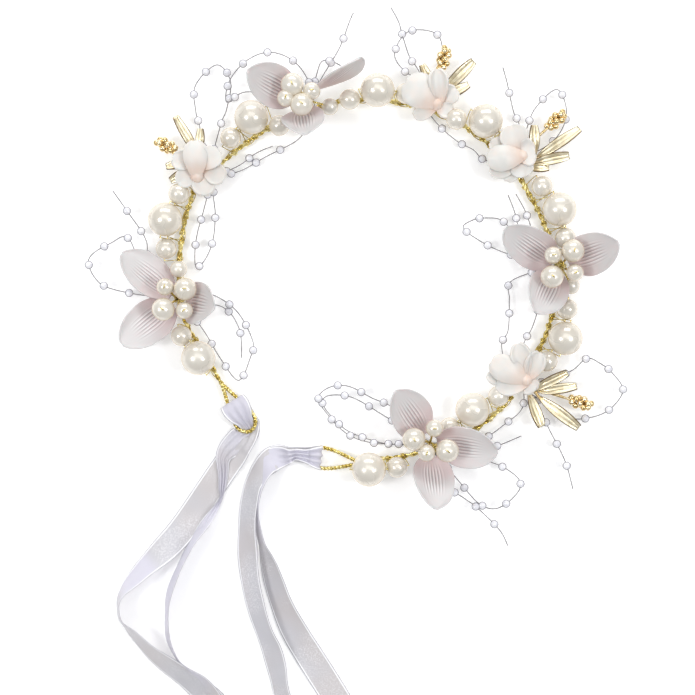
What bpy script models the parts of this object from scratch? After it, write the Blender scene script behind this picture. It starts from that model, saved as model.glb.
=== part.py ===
"""A flower crown: an open ring of twisted gold wire, with pearls, frosted orchids, resin flowers,
gold sprigs and beaded lines lashed along it, and a ribbon tied in the eye at each of its two ends.

It lies as it would on a table. Metres, +Z up, with the origin on the table at the middle of the
head opening. An angle runs anticlockwise from +X about the origin, and "out" is the distance
from the ring's own radius, away from the origin."""

from math import cos, pi, radians, sin

import bmesh
import bpy
from mathutils import Matrix, Vector

MM = 0.001
UP = Vector((0, 0, 1))

# Driving dimensions
RING_RADIUS = 0.066
BAND_WIRE = 0.0018
EYE_WIRE = 0.0014
LASHING_WIRE = 0.0004
LASHING_PITCH = 0.0145
LASHING_SIDES = 8
LARGE_PEARL = 0.012
MEDIUM_PEARL = 0.008
SMALL_PEARL = 0.006
PEARL_BORE = 0.0012
PETAL_LENGTH = 0.023
PETAL_WIDTH = 0.015
PETAL_BELLY = 0.01035
PETAL_THICKNESS = 0.0008
PETAL_CUP = 0.0018
FLOWER_PETAL = 0.0104
FLOWER_HUB = 0.0048
SPRIG_THICKNESS = 0.0008
BERRY = 0.0026
BEAD = 0.0030
BEAD_PITCH = 0.0092
LINE = 0.0004
HUB_BAR = 0.0006
HUB_STEP = 1.1
RIBBON_WIDTH = 0.010
RIBBON_THICKNESS = 0.0006
LEFT_EYE = 0.0195
RIGHT_EYE = 0.0160
EYE_WIDTH = 0.0086

# Clearances
GAP = 0.0003
LASHING_GAP = 0.00015
PEARL_GAP = 0.0003
TABLE_GAP = 0.00003

LASHING_REACH = BAND_WIRE / 2 + LASHING_GAP + LASHING_WIRE
SEAT = LASHING_REACH + LASHING_GAP
LOWEST_LEAN = 30
BAND_HEIGHT = max(LARGE_PEARL / 2 - (LARGE_PEARL / 2 + SEAT) * sin(radians(LOWEST_LEAN)),
                  LASHING_REACH + LASHING_GAP + HUB_BAR)
BAND_TOP = BAND_HEIGHT + SEAT

# The band: (angle, out in mm), bent by hand, so it wanders a little about its circle
BAND_BENDS = (
    (216.5, -1.9), (206, -2.4), (193, 0.6), (180, 0.4), (162, 1.6), (151, 2.3), (141, -0.8),
    (132, -2.2), (120, -3.1), (102, -3.3), (81, -3.4), (55, -2.6), (28, -1.6), (16, -0.6),
    (5, 1.8), (-4, 2.0), (-14, 0.8), (-28, 0.1), (-48, 0.6), (-64, -0.4), (-84, -1.0), (-92, 0.3),
)

# Pearls: (large pearl's angle, its lean, leans of the medium pearls before and after it).
# A lean turns about the band: 0 outwards, 90 straight up, 180 inwards.
PEARL_RUNS = (
    (206, 72, None, 55),
    (164.4, 31, 30, 41),
    (126.2, 40, 38, 108),
    (86.9, 71, 94, 59),
    (52.6, 50, 90, 30),
    (19.1, 30, 31, 36),
    (-17.5, 31, 47, 46),
    (-51.8, 150, 134, 150),
    (-89.6, 75, 56, None),
)

# Orchids: angle, out and up in mm from the band, petals as (turn from outward, pitch, roll, root
# in mm from the middle), pearls of the heart as (out, along in mm, diameter), and small pearls
# wired to the band as (angle, lean)
ORCHIDS = {
    "left": (187, 0.8, 0, ((-45, 12, 30, 2.6), (33, 12, 0, 2.6), (161, 56, 0, 3.0)),
             ((-4.0, -2.8, MEDIUM_PEARL), (2.8, -4.4, SMALL_PEARL),
              (4.4, 3.2, MEDIUM_PEARL), (-2.9, 4.5, SMALL_PEARL)),
             ((178, 90),)),
    "top": (111, 3.6, 3, ((47, 42, 0, 2.6), (-79, 40, 80, 7.1), (169, 58, 0, 3.8)),
            ((4.1, 0.9, MEDIUM_PEARL), (-0.4, -4.6, SMALL_PEARL),
             (0.6, 4.6, SMALL_PEARL), (-3.4, 0.3, MEDIUM_PEARL)),
            ((102.5, 112),)),
    "right": (3, 0.0, 0, ((144, 20, -20, 2.6), (-123, 41, 0, 3.0), (19, 43, 6, 3.4)),
              ((-3.5, 3.4, SMALL_PEARL), (3.5, 4.6, MEDIUM_PEARL),
               (-4.2, -4.0, MEDIUM_PEARL), (3.8, -3.0, SMALL_PEARL)),
              ((-2.7, 30),)),
    "bottom": (-69.5, -3.0, 3, ((-165, 32, 12, 3.2), (64, 24, 18, 2.6), (-17, 40, -14, 5.2)),
               ((-3.5, -5.0, MEDIUM_PEARL), (-4.6, 2.9, SMALL_PEARL),
                (2.4, -2.6, SMALL_PEARL), (4.2, 4.4, MEDIUM_PEARL)),
               ()),
}
ORCHID_HEIGHT = BAND_TOP + PETAL_THICKNESS
BELLY_SHARE = 0.45
KNOT_RISE = 0.0026
HEART_RISE = 0.0080

# Resin flowers: angle, out in mm from the band, turn of the first petal
FLOWERS = ((146.8, 2.6, 20), (70.4, 4.5, 50), (39.6, 2.4, 0), (-33.4, -5.4, 35))
FLOWER_PETALS = 5
FLOWER_RISE = 0.0058

# Gold sprigs, one under each resin flower: leaves as (root, tip, width) and the berry head's
# middle, each place as (out, along) in mm from the band
SPRIGS = (
    ((((5.0, -2.5), (20.0, -10.0), 3.4), ((5.8, -3.4), (10.4, -11.2), 3.2),
      ((5.6, -1.1), (13.2, 6.6), 3.4), ((5.0, 1.4), (9.2, 10.0), 3.4)), (15.4, 0.2)),
    ((((6.5, -3.0), (20.8, -9.9), 4.2), ((5.4, -4.4), (12.6, -11.0), 3.6),
      ((7.1, 0.2), (13.6, 6.8), 3.4)), (16.6, 0.2)),
    ((((8.5, -4.8), (15.1, 3.4), 3.8), ((8.5, -6.0), (26.4, -7.7), 3.8),
      ((6.0, -6.4), (17.7, -12.6), 4.0), ((4.0, -6.6), (9.6, -11.4), 3.2)), (20.4, -0.2)),
    ((((4.6, -1.6), (11.4, 10.4), 3.6), ((6.6, -0.8), (16.6, 8.2), 3.6),
      ((8.4, -2.3), (25.2, -3.8), 4.2), ((4.6, -3.4), (14.2, -10.6), 4.0)), (19.4, 3.6)),
)
SPRIG_RISE = 0.10

# Beaded lines: hubs under the band by angle, then strands as (start hub, end hub or None,
# rise in mm, points as (angle, out in mm)). A strand with an end hub is a loop or a link.
BEAD_LINES = {
    "left": ((187,), (
        (0, None, 5, ((177, 11), (170.5, 13.5), (164.5, 22.5), (161.5, 28.5))),
        (0, 0, 3, ((179, 12.5), (171, 19.5), (172.5, 25), (176.5, 32.5), (181.5, 28.5),
                   (184, 18.5), (185.5, 8))),
        (0, 0, 3, ((186, -9), (194.5, -18), (209.5, -19.5), (215, -15.5), (219, -7.5),
                   (209.5, -6.5), (198.5, -5))),
        (0, None, 2, ((191.5, -13), (202, -17), (213, -13))))),
    "upper_left": ((148,), (
        (0, 0, 3, ((151.5, -4), (158, -8), (167, -10), (174, -8.5), (177, -5.5), (172, -4.5),
                   (165.5, -4), (158, -3.5))),
        (0, 0, 1, ((141, 9.5), (138, 14), (136, 18.5), (132, 25), (125.5, 26), (125, 18.5),
                   (130, 11.5), (134, 8.8))),
        (0, None, 2, ((141, -7), (130, -10.5), (119, -12), (114.5, -11))),
        (0, None, 1, ((140, -5.5), (132, -7.2), (126, -9))))),
    "top": ((111,), (
        (0, 0, 7, ((106.8, 6), (109, 14), (113.5, 19.5), (119, 20.5), (125, 18), (129, 12.5),
                   (122.5, 11.2))),
        (0, None, 2, ((104, 8), (101.5, 12), (97.5, 9.5), (94.5, 4.5))),
        (0, None, 1, ((103.5, 5.5), (97, 15.5), (94, 24.5), (93, 27.5))))),
    "upper_right": ((71, 40), (
        (0, None, 4, ((75.5, 8.5), (79, 13), (81.5, 19.5), (83, 24.5), (85, 29))),
        (0, 0, 3, ((74.5, 5.5), (79.5, 7.5), (83, 13), (80.5, 21.5), (74, 23), (71, 15))),
        (1, None, 5, ((44, 9), (48.5, 12), (54, 18), (57, 21.5))),
        (1, 1, 3, ((42.5, 10), (45, 18), (44.5, 28), (39, 24.5), (36, 14.5))),
        (0, 1, 1, ((64, -7), (56, -8.5), (50, -7.5), (45, -7.5))))),
    "right": ((3, -35, -69), (
        (0, None, 1, ((8, -4), (14, -5.2), (22, -5.4), (29, -5.8))),
        (0, None, 1, ((10, -7), (17, -9.5), (23.5, -9), (30, -8.4))),
        (0, 0, 3, ((14, -10.5), (22.5, -14.5), (26.5, -20), (28, -24), (27, -28), (19.5, -25.5),
                   (10, -17))),
        (0, 1, 1, ((-1.5, -14.5), (-9, -15), (-14.5, -14), (-21.5, -12.5), (-28, -12))),
        (0, 1, 1, ((-3, -5), (-10, -4.5), (-17, -4.8), (-24, -5.5))),
        (1, 1, 2, ((-29, 9), (-24.5, 14), (-20.5, 17), (-20.5, 22), (-21.5, 27), (-24, 33),
                   (-28.5, 32), (-32, 28), (-35, 21.5), (-35.5, 12))),
        (1, None, 3, ((-37.5, 11), (-40, 18), (-43, 29.5), (-46, 38.5))),
        (1, 2, 0.5, ((-40, 6), (-47, 5.6), (-56, 5), (-64, 5))),
        (2, None, 2, ((-62, 8.5), (-56, 8.6), (-50.5, 10.5), (-46, 12.5))),
        (2, 2, 3, ((-57, 12), (-53.5, 21), (-54, 26), (-58, 28), (-61.5, 27.5), (-64, 23),
                   (-66, 13))),
        (2, None, 5, ((-69.5, 7), (-69, 14), (-66.5, 19.5), (-64.5, 25), (-62.5, 35), (-62.5, 41))),
        (2, 2, 3, ((-80, -14), (-94, -22), (-102, -23), (-109, -21), (-108.5, -17.5),
                   (-98.5, -11.5), (-88.5, -8), (-80, -5.5))),
        (2, 2, 4, ((-78, -18), (-88, -23), (-99, -26.5), (-108, -25), (-112, -20),
                   (-106.5, -15.5), (-96.5, -9.5), (-85, -6.5))))),
}

# Ribbon tails from the middle of each eye's end: (right, up the page in mm, roll on edge)
RIBBON_TAILS = {
    "left": (((-2.6, -4.5, 30), (-9, -12.5, 8), (-16.3, -23.3, 0), (-26, -37, 8), (-36.6, -47.5, 44),
              (-41.6, -52.6, 60), (-44.7, -55.8, 70), (-46.7, -60, 78), (-46.8, -64.2, 82),
              (-45.3, -67.4, 78), (-41.8, -71.5, 64), (-35.9, -77.6, 52), (-28.5, -83.5, 42),
              (-19, -90.7, 28), (-11.5, -99, 10), (-7, -109, 0), (-6, -121, 0), (-11, -133, 0),
              (-18, -144, 0), (-19, -154, 0), (-15, -164, 0)),
             ((-3.0, -5.0, 20), (-8.2, -14, 50), (-9.6, -22, 76), (-13, -28, 82),
              (-19.6, -37.6, 82), (-23.2, -44.1, 79), (-26.1, -50, 77), (-28.5, -56.5, 79),
              (-29.6, -64, 80), (-29.4, -72, 82), (-27.9, -76.6, 81), (-25.3, -81.3, 76),
              (-21.4, -85.1, 66), (-16.1, -90, 52), (-13, -98, 28), (-15, -108, 8),
              (-22, -118, 0), (-27, -128, 0), (-27, -139, 0), (-31, -150, 0))),
    "right": (((-9, 1.0, 0), (-13.5, 0.4, 15), (-17.6, -2.6, 34), (-20.8, -6.8, 46),
               (-23.1, -12.6, 52), (-24.3, -23.6, 48), (-24.1, -35.4, 43), (-22.6, -47.2, 44),
               (-19.3, -59, 48), (-14.8, -70.8, 40), (-12.4, -82.6, 50), (-10.6, -92, 34),
               (-9.8, -102, 16), (-12, -113, 0), (-18, -125, 0), (-19.5, -138, 0), (-15, -151, 0)),
              ((-9, 0.5, 0), (-16.5, -1.5, 30), (-20, -9, 66), (-21, -20, 82), (-19.5, -29, 76),
               (-16.6, -38, 50), (-13.0, -50, 36), (-7.6, -62, 16), (-1.0, -73, 0), (6.5, -85, 0),
               (14, -98, 0), (18, -111, 0), (15, -124, 0), (10, -136, 0), (12, -149, 0))),
}
TAIL_STEP = 0.008
TAIL_LIFT = {"left": (0.0, 0.0013), "right": (0.0, 0.0013)}


def material(name, colour, roughness, metallic=0.0):
    made = bpy.data.materials.new(name)
    made.use_nodes = True
    shader = made.node_tree.nodes["Principled BSDF"]
    shader.inputs["Base Color"].default_value = (*colour, 1)
    shader.inputs["Roughness"].default_value = roughness
    shader.inputs["Metallic"].default_value = metallic
    return made


def clear_scene():
    for obj in list(bpy.data.objects):
        bpy.data.objects.remove(obj, do_unlink=True)


def place(name, mesh, finish, matrix=None):
    """A mesh as a named object, shaded smooth where its faces meet gently."""
    obj = bpy.data.objects.new(name, mesh)
    bpy.context.scene.collection.objects.link(obj)
    if matrix is not None:
        obj.matrix_world = matrix
    mesh.materials.clear()
    mesh.materials.append(finish)
    mesh.shade_smooth()
    mesh.set_sharp_from_angle(angle=radians(40))
    return obj


def evaluated_mesh(obj):
    """The object's mesh in world space, after its modifiers; the object itself is removed."""
    bpy.context.view_layer.update()
    seen = obj.evaluated_get(bpy.context.evaluated_depsgraph_get())
    mesh = bpy.data.meshes.new_from_object(seen)
    mesh.transform(obj.matrix_world)
    bpy.data.objects.remove(obj, do_unlink=True)
    return mesh


def mesh_from(bm):
    mesh = bpy.data.meshes.new("shape")
    bmesh.ops.recalc_face_normals(bm, faces=bm.faces)
    bm.to_mesh(mesh)
    bm.free()
    return mesh


def fuse(name, meshes, finish):
    """One solid from meshes that overlap one another."""
    base = bpy.data.objects.new(name, meshes[0])
    bpy.context.scene.collection.objects.link(base)
    others = []
    for mesh in meshes[1:]:
        other = bpy.data.objects.new("joined", mesh)
        bpy.context.scene.collection.objects.link(other)
        join = base.modifiers.new("join", "BOOLEAN")
        join.operation = "UNION"
        join.solver = "EXACT"
        join.use_self = True
        join.object = other
        others.append(other)
    mesh = evaluated_mesh(base)
    for other in others:
        bpy.data.objects.remove(other, do_unlink=True)
    return place(name, mesh, finish)


def between(before, start, end, after, share):
    """A smooth curve through four values, between the middle two."""
    return 0.5 * (
        2 * start
        + (end - before) * share
        + (2 * before - 5 * start + 4 * end - after) * share ** 2
        + (3 * start - before - 3 * end + after) * share ** 3
    )


def smooth_route(points, steps):
    """Points on a smooth curve through the given ones, with this many steps to each stretch."""
    route = []
    for i in range(len(points) - 1):
        before = points[max(i - 1, 0)]
        after = points[min(i + 2, len(points) - 1)]
        route += [between(before, points[i], points[i + 1], after, k / steps) for k in range(steps)]
    return [*route, points[-1]]


def spaced(route, pitch):
    """The route again, with its points an even distance apart, close to the pitch."""
    length = sum((b - a).length for a, b in zip(route, route[1:]))
    count = max(round(length / pitch), 1)
    points, gone, wanted = [route[0]], 0.0, length / count
    for a, b in zip(route, route[1:]):
        step = (b - a).length
        while step > 0 and len(points) < count and wanted <= gone + step:
            points.append(a.lerp(b, (wanted - gone) / step))
            wanted += length / count
        gone += step
    return [*points, route[-1]]


def tube(points, radii, sides_level=0, closed=False):
    """A round bar through the points, with its own radius at each."""
    curve = bpy.data.curves.new("bar", "CURVE")
    curve.dimensions = "3D"
    curve.bevel_depth = MM
    curve.bevel_resolution = sides_level
    curve.use_fill_caps = True
    line = curve.splines.new("POLY")
    line.points.add(len(points) - 1)
    for point, place_at, radius in zip(line.points, points, radii):
        point.co = (*place_at, 1)
        point.radius = radius / MM
    line.use_cyclic_u = closed
    bar = bpy.data.objects.new("bar", curve)
    bpy.context.scene.collection.objects.link(bar)
    mesh = evaluated_mesh(bar)
    bm = bmesh.new()
    bm.from_mesh(mesh)
    bmesh.ops.remove_doubles(bm, verts=bm.verts, dist=1e-6)
    return mesh_from(bm)


def ball(middle, radius, around=10, rings=7):
    bm = bmesh.new()
    bmesh.ops.create_uvsphere(bm, u_segments=around, v_segments=rings, radius=radius)
    bmesh.ops.translate(bm, verts=bm.verts, vec=middle)
    return mesh_from(bm)


def outward(angle):
    return Vector((cos(radians(angle)), sin(radians(angle)), 0))


def band_point(angle):
    """The middle of the band wire at an angle."""
    bends = BAND_BENDS
    i = 0
    while i < len(bends) - 2 and angle < bends[i + 1][0]:
        i += 1
    share = (bends[i][0] - angle) / (bends[i][0] - bends[i + 1][0])
    before, after = bends[max(i - 1, 0)][1], bends[min(i + 2, len(bends) - 1)][1]
    out = between(before, bends[i][1], bends[i + 1][1], after, min(max(share, 0), 1)) * MM
    return outward(angle) * (RING_RADIUS + out) + UP * BAND_HEIGHT


def on_table(angle, out, height):
    """A place by its angle and its distance in mm beyond the ring's radius."""
    return outward(angle) * (RING_RADIUS + out * MM) + UP * height


def beside_band(angle, out, along, height):
    """A place by its distances in mm from the band, outwards and anticlockwise along it."""
    middle = band_point(angle)
    side = UP.cross(outward(angle))
    place_at = middle + (outward(angle) * out + side * along) * MM
    return Vector((place_at.x, place_at.y, height))


def seated(angle, lean, diameter):
    """The middle of a pearl that rests against the lashed band."""
    reach = diameter / 2 + SEAT
    direction = outward(angle) * cos(radians(lean)) + UP * sin(radians(lean))
    return band_point(angle) + direction * reach


def touching_angle(angle, lean, diameter, side, other_lean, other_diameter):
    """The angle at which the other pearl just clears this one, on one side of it."""
    wanted = (diameter + other_diameter) / 2 + PEARL_GAP
    here = seated(angle, lean, diameter)
    near, far = 0.0, 30.0
    for _ in range(30):
        middle = (near + far) / 2
        if (seated(angle + side * middle, other_lean, other_diameter) - here).length < wanted:
            near = middle
        else:
            far = middle
    return angle + side * far


def drilled_pearl(diameter, around, rings):
    """A ball with a hole through it along X for the lashing wire."""
    radius, bore = diameter / 2, PEARL_BORE / 2
    edge = bore / radius
    bm = bmesh.new()
    profile = []
    for k in range(rings + 1):
        turn = edge + (pi - 2 * edge) * k / rings
        profile.append(bm.verts.new((radius * cos(turn), radius * sin(turn), 0)))
    edges = [bm.edges.new(pair) for pair in zip(profile, [*profile[1:], profile[0]])]
    bmesh.ops.spin(bm, geom=profile + edges, cent=(0, 0, 0), axis=(1, 0, 0), angle=2 * pi,
                   steps=around, use_merge=True)
    bmesh.ops.remove_doubles(bm, verts=bm.verts, dist=1e-6)
    return mesh_from(bm)


def add_pearls(finish):
    meshes = {LARGE_PEARL: drilled_pearl(LARGE_PEARL, 12, 6),
              MEDIUM_PEARL: drilled_pearl(MEDIUM_PEARL, 10, 5)}
    count = {LARGE_PEARL: 0, MEDIUM_PEARL: 0}
    names = {LARGE_PEARL: "pearl_large", MEDIUM_PEARL: "pearl_medium"}

    def add(angle, lean, diameter):
        count[diameter] += 1
        turn = Matrix.Rotation(radians(angle + 90), 4, "Z")
        where = Matrix.Translation(seated(angle, lean, diameter)) @ turn
        place(f"{names[diameter]}_{count[diameter]}", meshes[diameter].copy(), finish, where)

    for angle, lean, lean_before, lean_after in PEARL_RUNS:
        add(angle, lean, LARGE_PEARL)
        for side, other_lean in ((1, lean_before), (-1, lean_after)):
            if other_lean is not None:
                other = touching_angle(angle, lean, LARGE_PEARL, side, other_lean, MEDIUM_PEARL)
                add(other, other_lean, MEDIUM_PEARL)


def eye_route(length, width, end_flat):
    """A teardrop loop in its own frame: the neck at the origin, the rounded end along +X."""
    half = width / 2 - EYE_WIRE / 2
    side = [Vector((0, 0, 0)), Vector((length * 0.28, half * 0.42, 0)),
            Vector((length * 0.6, half * 0.86, 0)), Vector((length * 0.82, half, 0)),
            Vector((length * 0.95, half * (0.62 + 0.3 * end_flat), 0)), Vector((length, 0, 0))]
    other = [Vector((p.x, -p.y, 0)) for p in reversed(side[:-1])]
    return smooth_route(side + other, 3)


def eye_matrix(side):
    """Where an eye's neck sits and which way it points."""
    if side == "left":
        return Matrix.Translation(band_point(BAND_BENDS[0][0])) @ Matrix.Rotation(radians(-58), 4, "Z")
    return Matrix.Translation(band_point(BAND_BENDS[-1][0])) @ Matrix.Rotation(radians(172), 4, "Z")


def eye_end(side):
    return eye_matrix(side) @ Vector((LEFT_EYE if side == "left" else RIGHT_EYE, 0, 0))


def add_band(finish):
    first, last = BAND_BENDS[0][0], BAND_BENDS[-1][0]
    steps = 56
    route = [band_point(first + (last - first) * k / steps) for k in range(steps + 1)]
    pieces = [tube(route, [BAND_WIRE / 2] * len(route), 1)]
    for side, length, flat in (("left", LEFT_EYE, 0), ("right", RIGHT_EYE, 1)):
        points = [eye_matrix(side) @ p for p in eye_route(length, EYE_WIDTH, flat)[:-1]]
        pieces.append(tube(points, [EYE_WIRE / 2] * len(points), 1, closed=True))
    fuse("band_wire", pieces, finish)


def add_lashing(finish):
    """A thin wire wound along the whole band, which ties everything else to it."""
    first, last = BAND_BENDS[0][0] - 3.5, BAND_BENDS[-1][0] + 3.5
    reach = BAND_WIRE / 2 + LASHING_GAP + LASHING_WIRE / 2
    turns = round(radians(first - last) * RING_RADIUS / LASHING_PITCH)
    route = []
    for k in range(turns * LASHING_SIDES + 1):
        angle = first + (last - first) * k / (turns * LASHING_SIDES)
        phase = 2 * pi * k / LASHING_SIDES
        direction = outward(angle) * cos(phase) + UP * sin(phase)
        route.append(band_point(angle) + direction * reach / cos(pi / LASHING_SIDES))
    place("lashing_wire", tube(route, [LASHING_WIRE / 2] * len(route)), finish)


def petal_mesh(length, width, cup):
    """A cupped, egg-shaped petal with a soft point, lying along +X. Its widest place keeps its
    distance from the root's wire whatever the petal's length."""
    bm = bmesh.new()
    along, across = 6, 4
    bmesh.ops.create_grid(bm, x_segments=along, y_segments=across, size=1)
    for vert in bm.verts:
        share, side = (vert.co.x + 1) / 2, vert.co.y
        breadth = max(sin(pi * (0.05 + 0.90 * share) ** 0.85), 0) ** 0.72
        vert.co = (PETAL_BELLY + length * (share - BELLY_SHARE), side * width / 2 * breadth,
                   cup * side ** 2 * breadth + cup * 0.5 * share ** 2)
    mesh = bpy.data.meshes.new("petal")
    bm.to_mesh(mesh)
    bm.free()
    return mesh


def add_orchids(petal_finish, pearl_finish):
    for name, (angle, out, up, petals, heart, singles) in ORCHIDS.items():
        middle = beside_band(angle, out, 0, ORCHID_HEIGHT + up * MM)
        for count, (turn, pitch, roll, distance) in enumerate(petals, 1):
            facing = Matrix.Rotation(radians(angle + turn), 4, "Z")
            root = Matrix.Translation(middle) @ facing @ Matrix.Translation((distance * MM, 0, 0))
            tilt = Matrix.Rotation(radians(-pitch), 4, "Y") @ Matrix.Rotation(radians(roll), 4, "X")
            petal = place(f"orchid_{name}_petal_{count}",
                          petal_mesh(PETAL_LENGTH, PETAL_WIDTH, PETAL_CUP), petal_finish, root @ tilt)
            wall = petal.modifiers.new("wall", "SOLIDIFY")
            wall.thickness = PETAL_THICKNESS
            wall.offset = 0
        add_heart(name, middle + UP * KNOT_RISE, (angle, out), heart, singles, pearl_finish)


def add_heart(name, knot, place_at, heart, singles, finish):
    """The orchid's pearls on their wire stems, and the small pearls wired in beside them."""
    angle, out = place_at
    pieces = [ball(knot, 0.0012, 8, 5)]
    for pearl_out, along, diameter in heart:
        middle = beside_band(angle, out + pearl_out, along, knot.z + HEART_RISE)
        pieces.append(ball(middle, diameter / 2, 8, 6))
        pieces.append(tube([knot, middle], [0.0004] * 2))
    for single_angle, lean in singles:
        middle = seated(single_angle, lean, SMALL_PEARL)
        over = knot.lerp(middle, 0.5) + UP * 0.002
        pieces.append(ball(middle, SMALL_PEARL / 2, 8, 6))
        pieces.append(tube([knot, over, middle], [0.0004] * 3))
    fuse(f"orchid_{name}_pearls", pieces, finish)


def add_flowers(finish):
    for count, (angle, out, first_turn) in enumerate(FLOWERS, 1):
        foot = beside_band(angle, out, 0, BAND_TOP + SPRIG_THICKNESS + 2 * GAP)
        hub = foot + UP * FLOWER_RISE
        pieces = [ball(hub, FLOWER_HUB / 2, 8, 6),
                  tube([foot, hub], [0.0012, 0.0012], 1)]
        for k in range(FLOWER_PETALS):
            bm = bmesh.new()
            bmesh.ops.create_uvsphere(bm, u_segments=7, v_segments=5, radius=FLOWER_PETAL / 2)
            bmesh.ops.scale(bm, verts=bm.verts, vec=(1, 0.82, 0.22))
            bmesh.ops.translate(bm, verts=bm.verts, vec=(FLOWER_PETAL * 0.46, 0, 0))
            turn = angle + first_turn + 360 * k / FLOWER_PETALS
            lift = 38 if k % 2 else 46
            bmesh.ops.transform(bm, verts=bm.verts, matrix=Matrix.Translation(hub)
                                @ Matrix.Rotation(radians(turn), 4, "Z")
                                @ Matrix.Rotation(radians(-lift), 4, "Y"))
            pieces.append(mesh_from(bm))
        fuse(f"resin_flower_{count}", pieces, finish)


def leaf_mesh(root, tip, width):
    """A flat pointed leaf between two points, with its own thickness at the middle rib."""
    length = (tip - root).length
    side = UP.cross(tip - root).normalized()
    bm = bmesh.new()
    rim = []
    for share, breadth in ((0, 0.25), (0.3, 0.85), (0.6, 1), (0.85, 0.7), (1, 0.12)):
        rim.append((root.lerp(tip, share), breadth * width / 2))
    outline = [p + side * w for p, w in rim] + [p - side * w for p, w in reversed(rim)]
    lower = bm.faces.new([bm.verts.new(p - UP * SPRIG_THICKNESS / 2) for p in outline])
    raised = bmesh.ops.extrude_face_region(bm, geom=[lower])["geom"]
    bmesh.ops.translate(bm, verts=[g for g in raised if isinstance(g, bmesh.types.BMVert)],
                        vec=UP * SPRIG_THICKNESS)
    return mesh_from(bm)


def add_sprigs(finish):
    for count, ((angle, _, _), (leaves, berry)) in enumerate(zip(FLOWERS, SPRIGS), 1):
        base_height = BAND_TOP + SPRIG_THICKNESS / 2

        def at(place_at, angle=angle, base_height=base_height):
            rise = SPRIG_RISE * max(place_at[0] - 4, 0) * MM
            return beside_band(angle, place_at[0], place_at[1], base_height + rise)

        foot = at((3.4, -1.0))
        pieces = [ball(foot + UP * 0.0001, 0.0009, 8, 5)]
        for root, tip, width in leaves:
            pieces.append(leaf_mesh(at(root), at(tip), width * MM))
            reach = at(root).lerp(at(tip), 0.12)
            pieces.append(tube([foot, reach], [0.0006, 0.0006]))
        head = at(berry)
        pieces.append(tube([foot, head], [0.0006, 0.0006]))
        along = (head - foot).normalized()
        side = UP.cross(along)
        for row, (forward, sideways) in enumerate(((0, 0), (-1.5, 1.3), (-1.5, -1.3), (1.6, 1.2),
                                                   (1.6, -1.2), (3.2, 0))):
            spot = head + (along * forward + side * sideways) * MM
            pieces.append(ball(spot + UP * (0.0003 if row % 2 else 0), BERRY / 2, 5, 3))
        fuse(f"gold_sprig_{count}", pieces, finish)


def bead_strand(route):
    """A line with a bead at every pitch along it, as one tube that swells at each bead."""
    spots = spaced(route, BEAD_PITCH)
    points, radii = [spots[0]], [LINE / 2]
    for before, spot, after in zip(spots, spots[1:], spots[2:]):
        spot.z = max(spot.z, BEAD / 2 + GAP / 2)
        ahead = (after - before).normalized()
        points += [spot - ahead * BEAD / 2, spot, spot + ahead * BEAD / 2]
        radii += [LINE / 2, BEAD / 2, LINE / 2]
    return tube([*points, spots[-1]], [*radii, LINE / 2])


def add_bead_lines(finish):
    under = HUB_BAR / 2 + TABLE_GAP
    lying = BEAD / 2 + 0.0002
    for name, (hubs, strands) in BEAD_LINES.items():
        slots = [0] * len(hubs)

        def on_bar(hub, slot, hubs=hubs):
            """A place along a hub bar, which runs just under the band."""
            return Vector((*band_point(hubs[hub] + (slot - 4.5) * HUB_STEP).xy, under))

        def next_place(hub, slots=slots, on_bar=on_bar):
            slots[hub] += 1
            return on_bar(hub, slots[hub])

        strings = []
        for start, end, rise, spots in strands:
            route = [next_place(start)]
            last = len(spots) + (1 if end is not None else 0)
            for k, (angle, out) in enumerate(spots, 1):
                share = k / last
                swell = sin(pi * share) if end is not None else share ** 1.5
                route.append(on_table(angle, out, lying + rise * MM * swell))
            if end is not None:
                route.append(next_place(end))
            strings.append(bead_strand(smooth_route(route, 4)))
        bars = []
        for hub, used in enumerate(slots):
            ends = (0.3, (used + 1) / 2 + 0.37, used + 0.7)
            bars.append(tube([on_bar(hub, slot) for slot in ends], [HUB_BAR / 2] * 3, 1))
        fuse(f"bead_line_{name}", bars + strings, finish)


def tail_mesh(side, points, lift):
    """A flat strip that turns on edge where its roll says so, and rests on the table."""
    end = eye_end(side)
    half = RIBBON_WIDTH / 2
    spots = [Vector((end.x + x * MM, end.y + y * MM, roll * MM)) for x, y, roll in points]
    route = spaced(smooth_route(spots, 6), TAIL_STEP)
    bm = bmesh.new()
    rings = []
    for i, spot in enumerate(route):
        ahead = route[min(i + 1, len(route) - 1)] - route[max(i - 1, 0)]
        ahead = Vector((ahead.x, ahead.y, 0)).normalized()
        roll = radians(max(spot.z / MM, 0))
        across = UP.cross(ahead) * cos(roll) + UP * sin(roll)
        normal = ahead.cross(across)
        height = lift + half * sin(roll) + RIBBON_THICKNESS / 2 * cos(roll)
        middle = Vector((spot.x, spot.y, height))
        wall = normal * RIBBON_THICKNESS / 2
        rings.append([bm.verts.new(middle + a * half * across + b * wall)
                      for a, b in ((-1, -1), (1, -1), (1, 1), (-1, 1))])
    for one, two in zip(rings, rings[1:]):
        for k in range(4):
            bm.faces.new((one[k], one[(k + 1) % 4], two[(k + 1) % 4], two[k]))
    bm.faces.new(rings[0])
    bm.faces.new(list(reversed(rings[-1])))
    bmesh.ops.triangulate(bm, faces=bm.faces)
    return mesh_from(bm)


def add_ribbons(finish):
    for side in ("left", "right"):
        end = eye_end(side)
        tails = [tail_mesh(side, points, lift)
                 for points, lift in zip(RIBBON_TAILS[side], TAIL_LIFT[side])]
        first = [Vector((end.x + x * MM, end.y + y * MM, 0.0013)) for x, y, _ in RIBBON_TAILS[side][0][:2]]
        neck = tube([first[0].lerp(first[1], -0.3 if side == "left" else -0.6), first[1]],
                    [0.0012, 0.0012], 1)
        fuse(f"ribbon_{side}_tails", [tails[0], tails[1], neck], finish)
    add_left_knot(finish)
    add_right_knot(finish)


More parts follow.
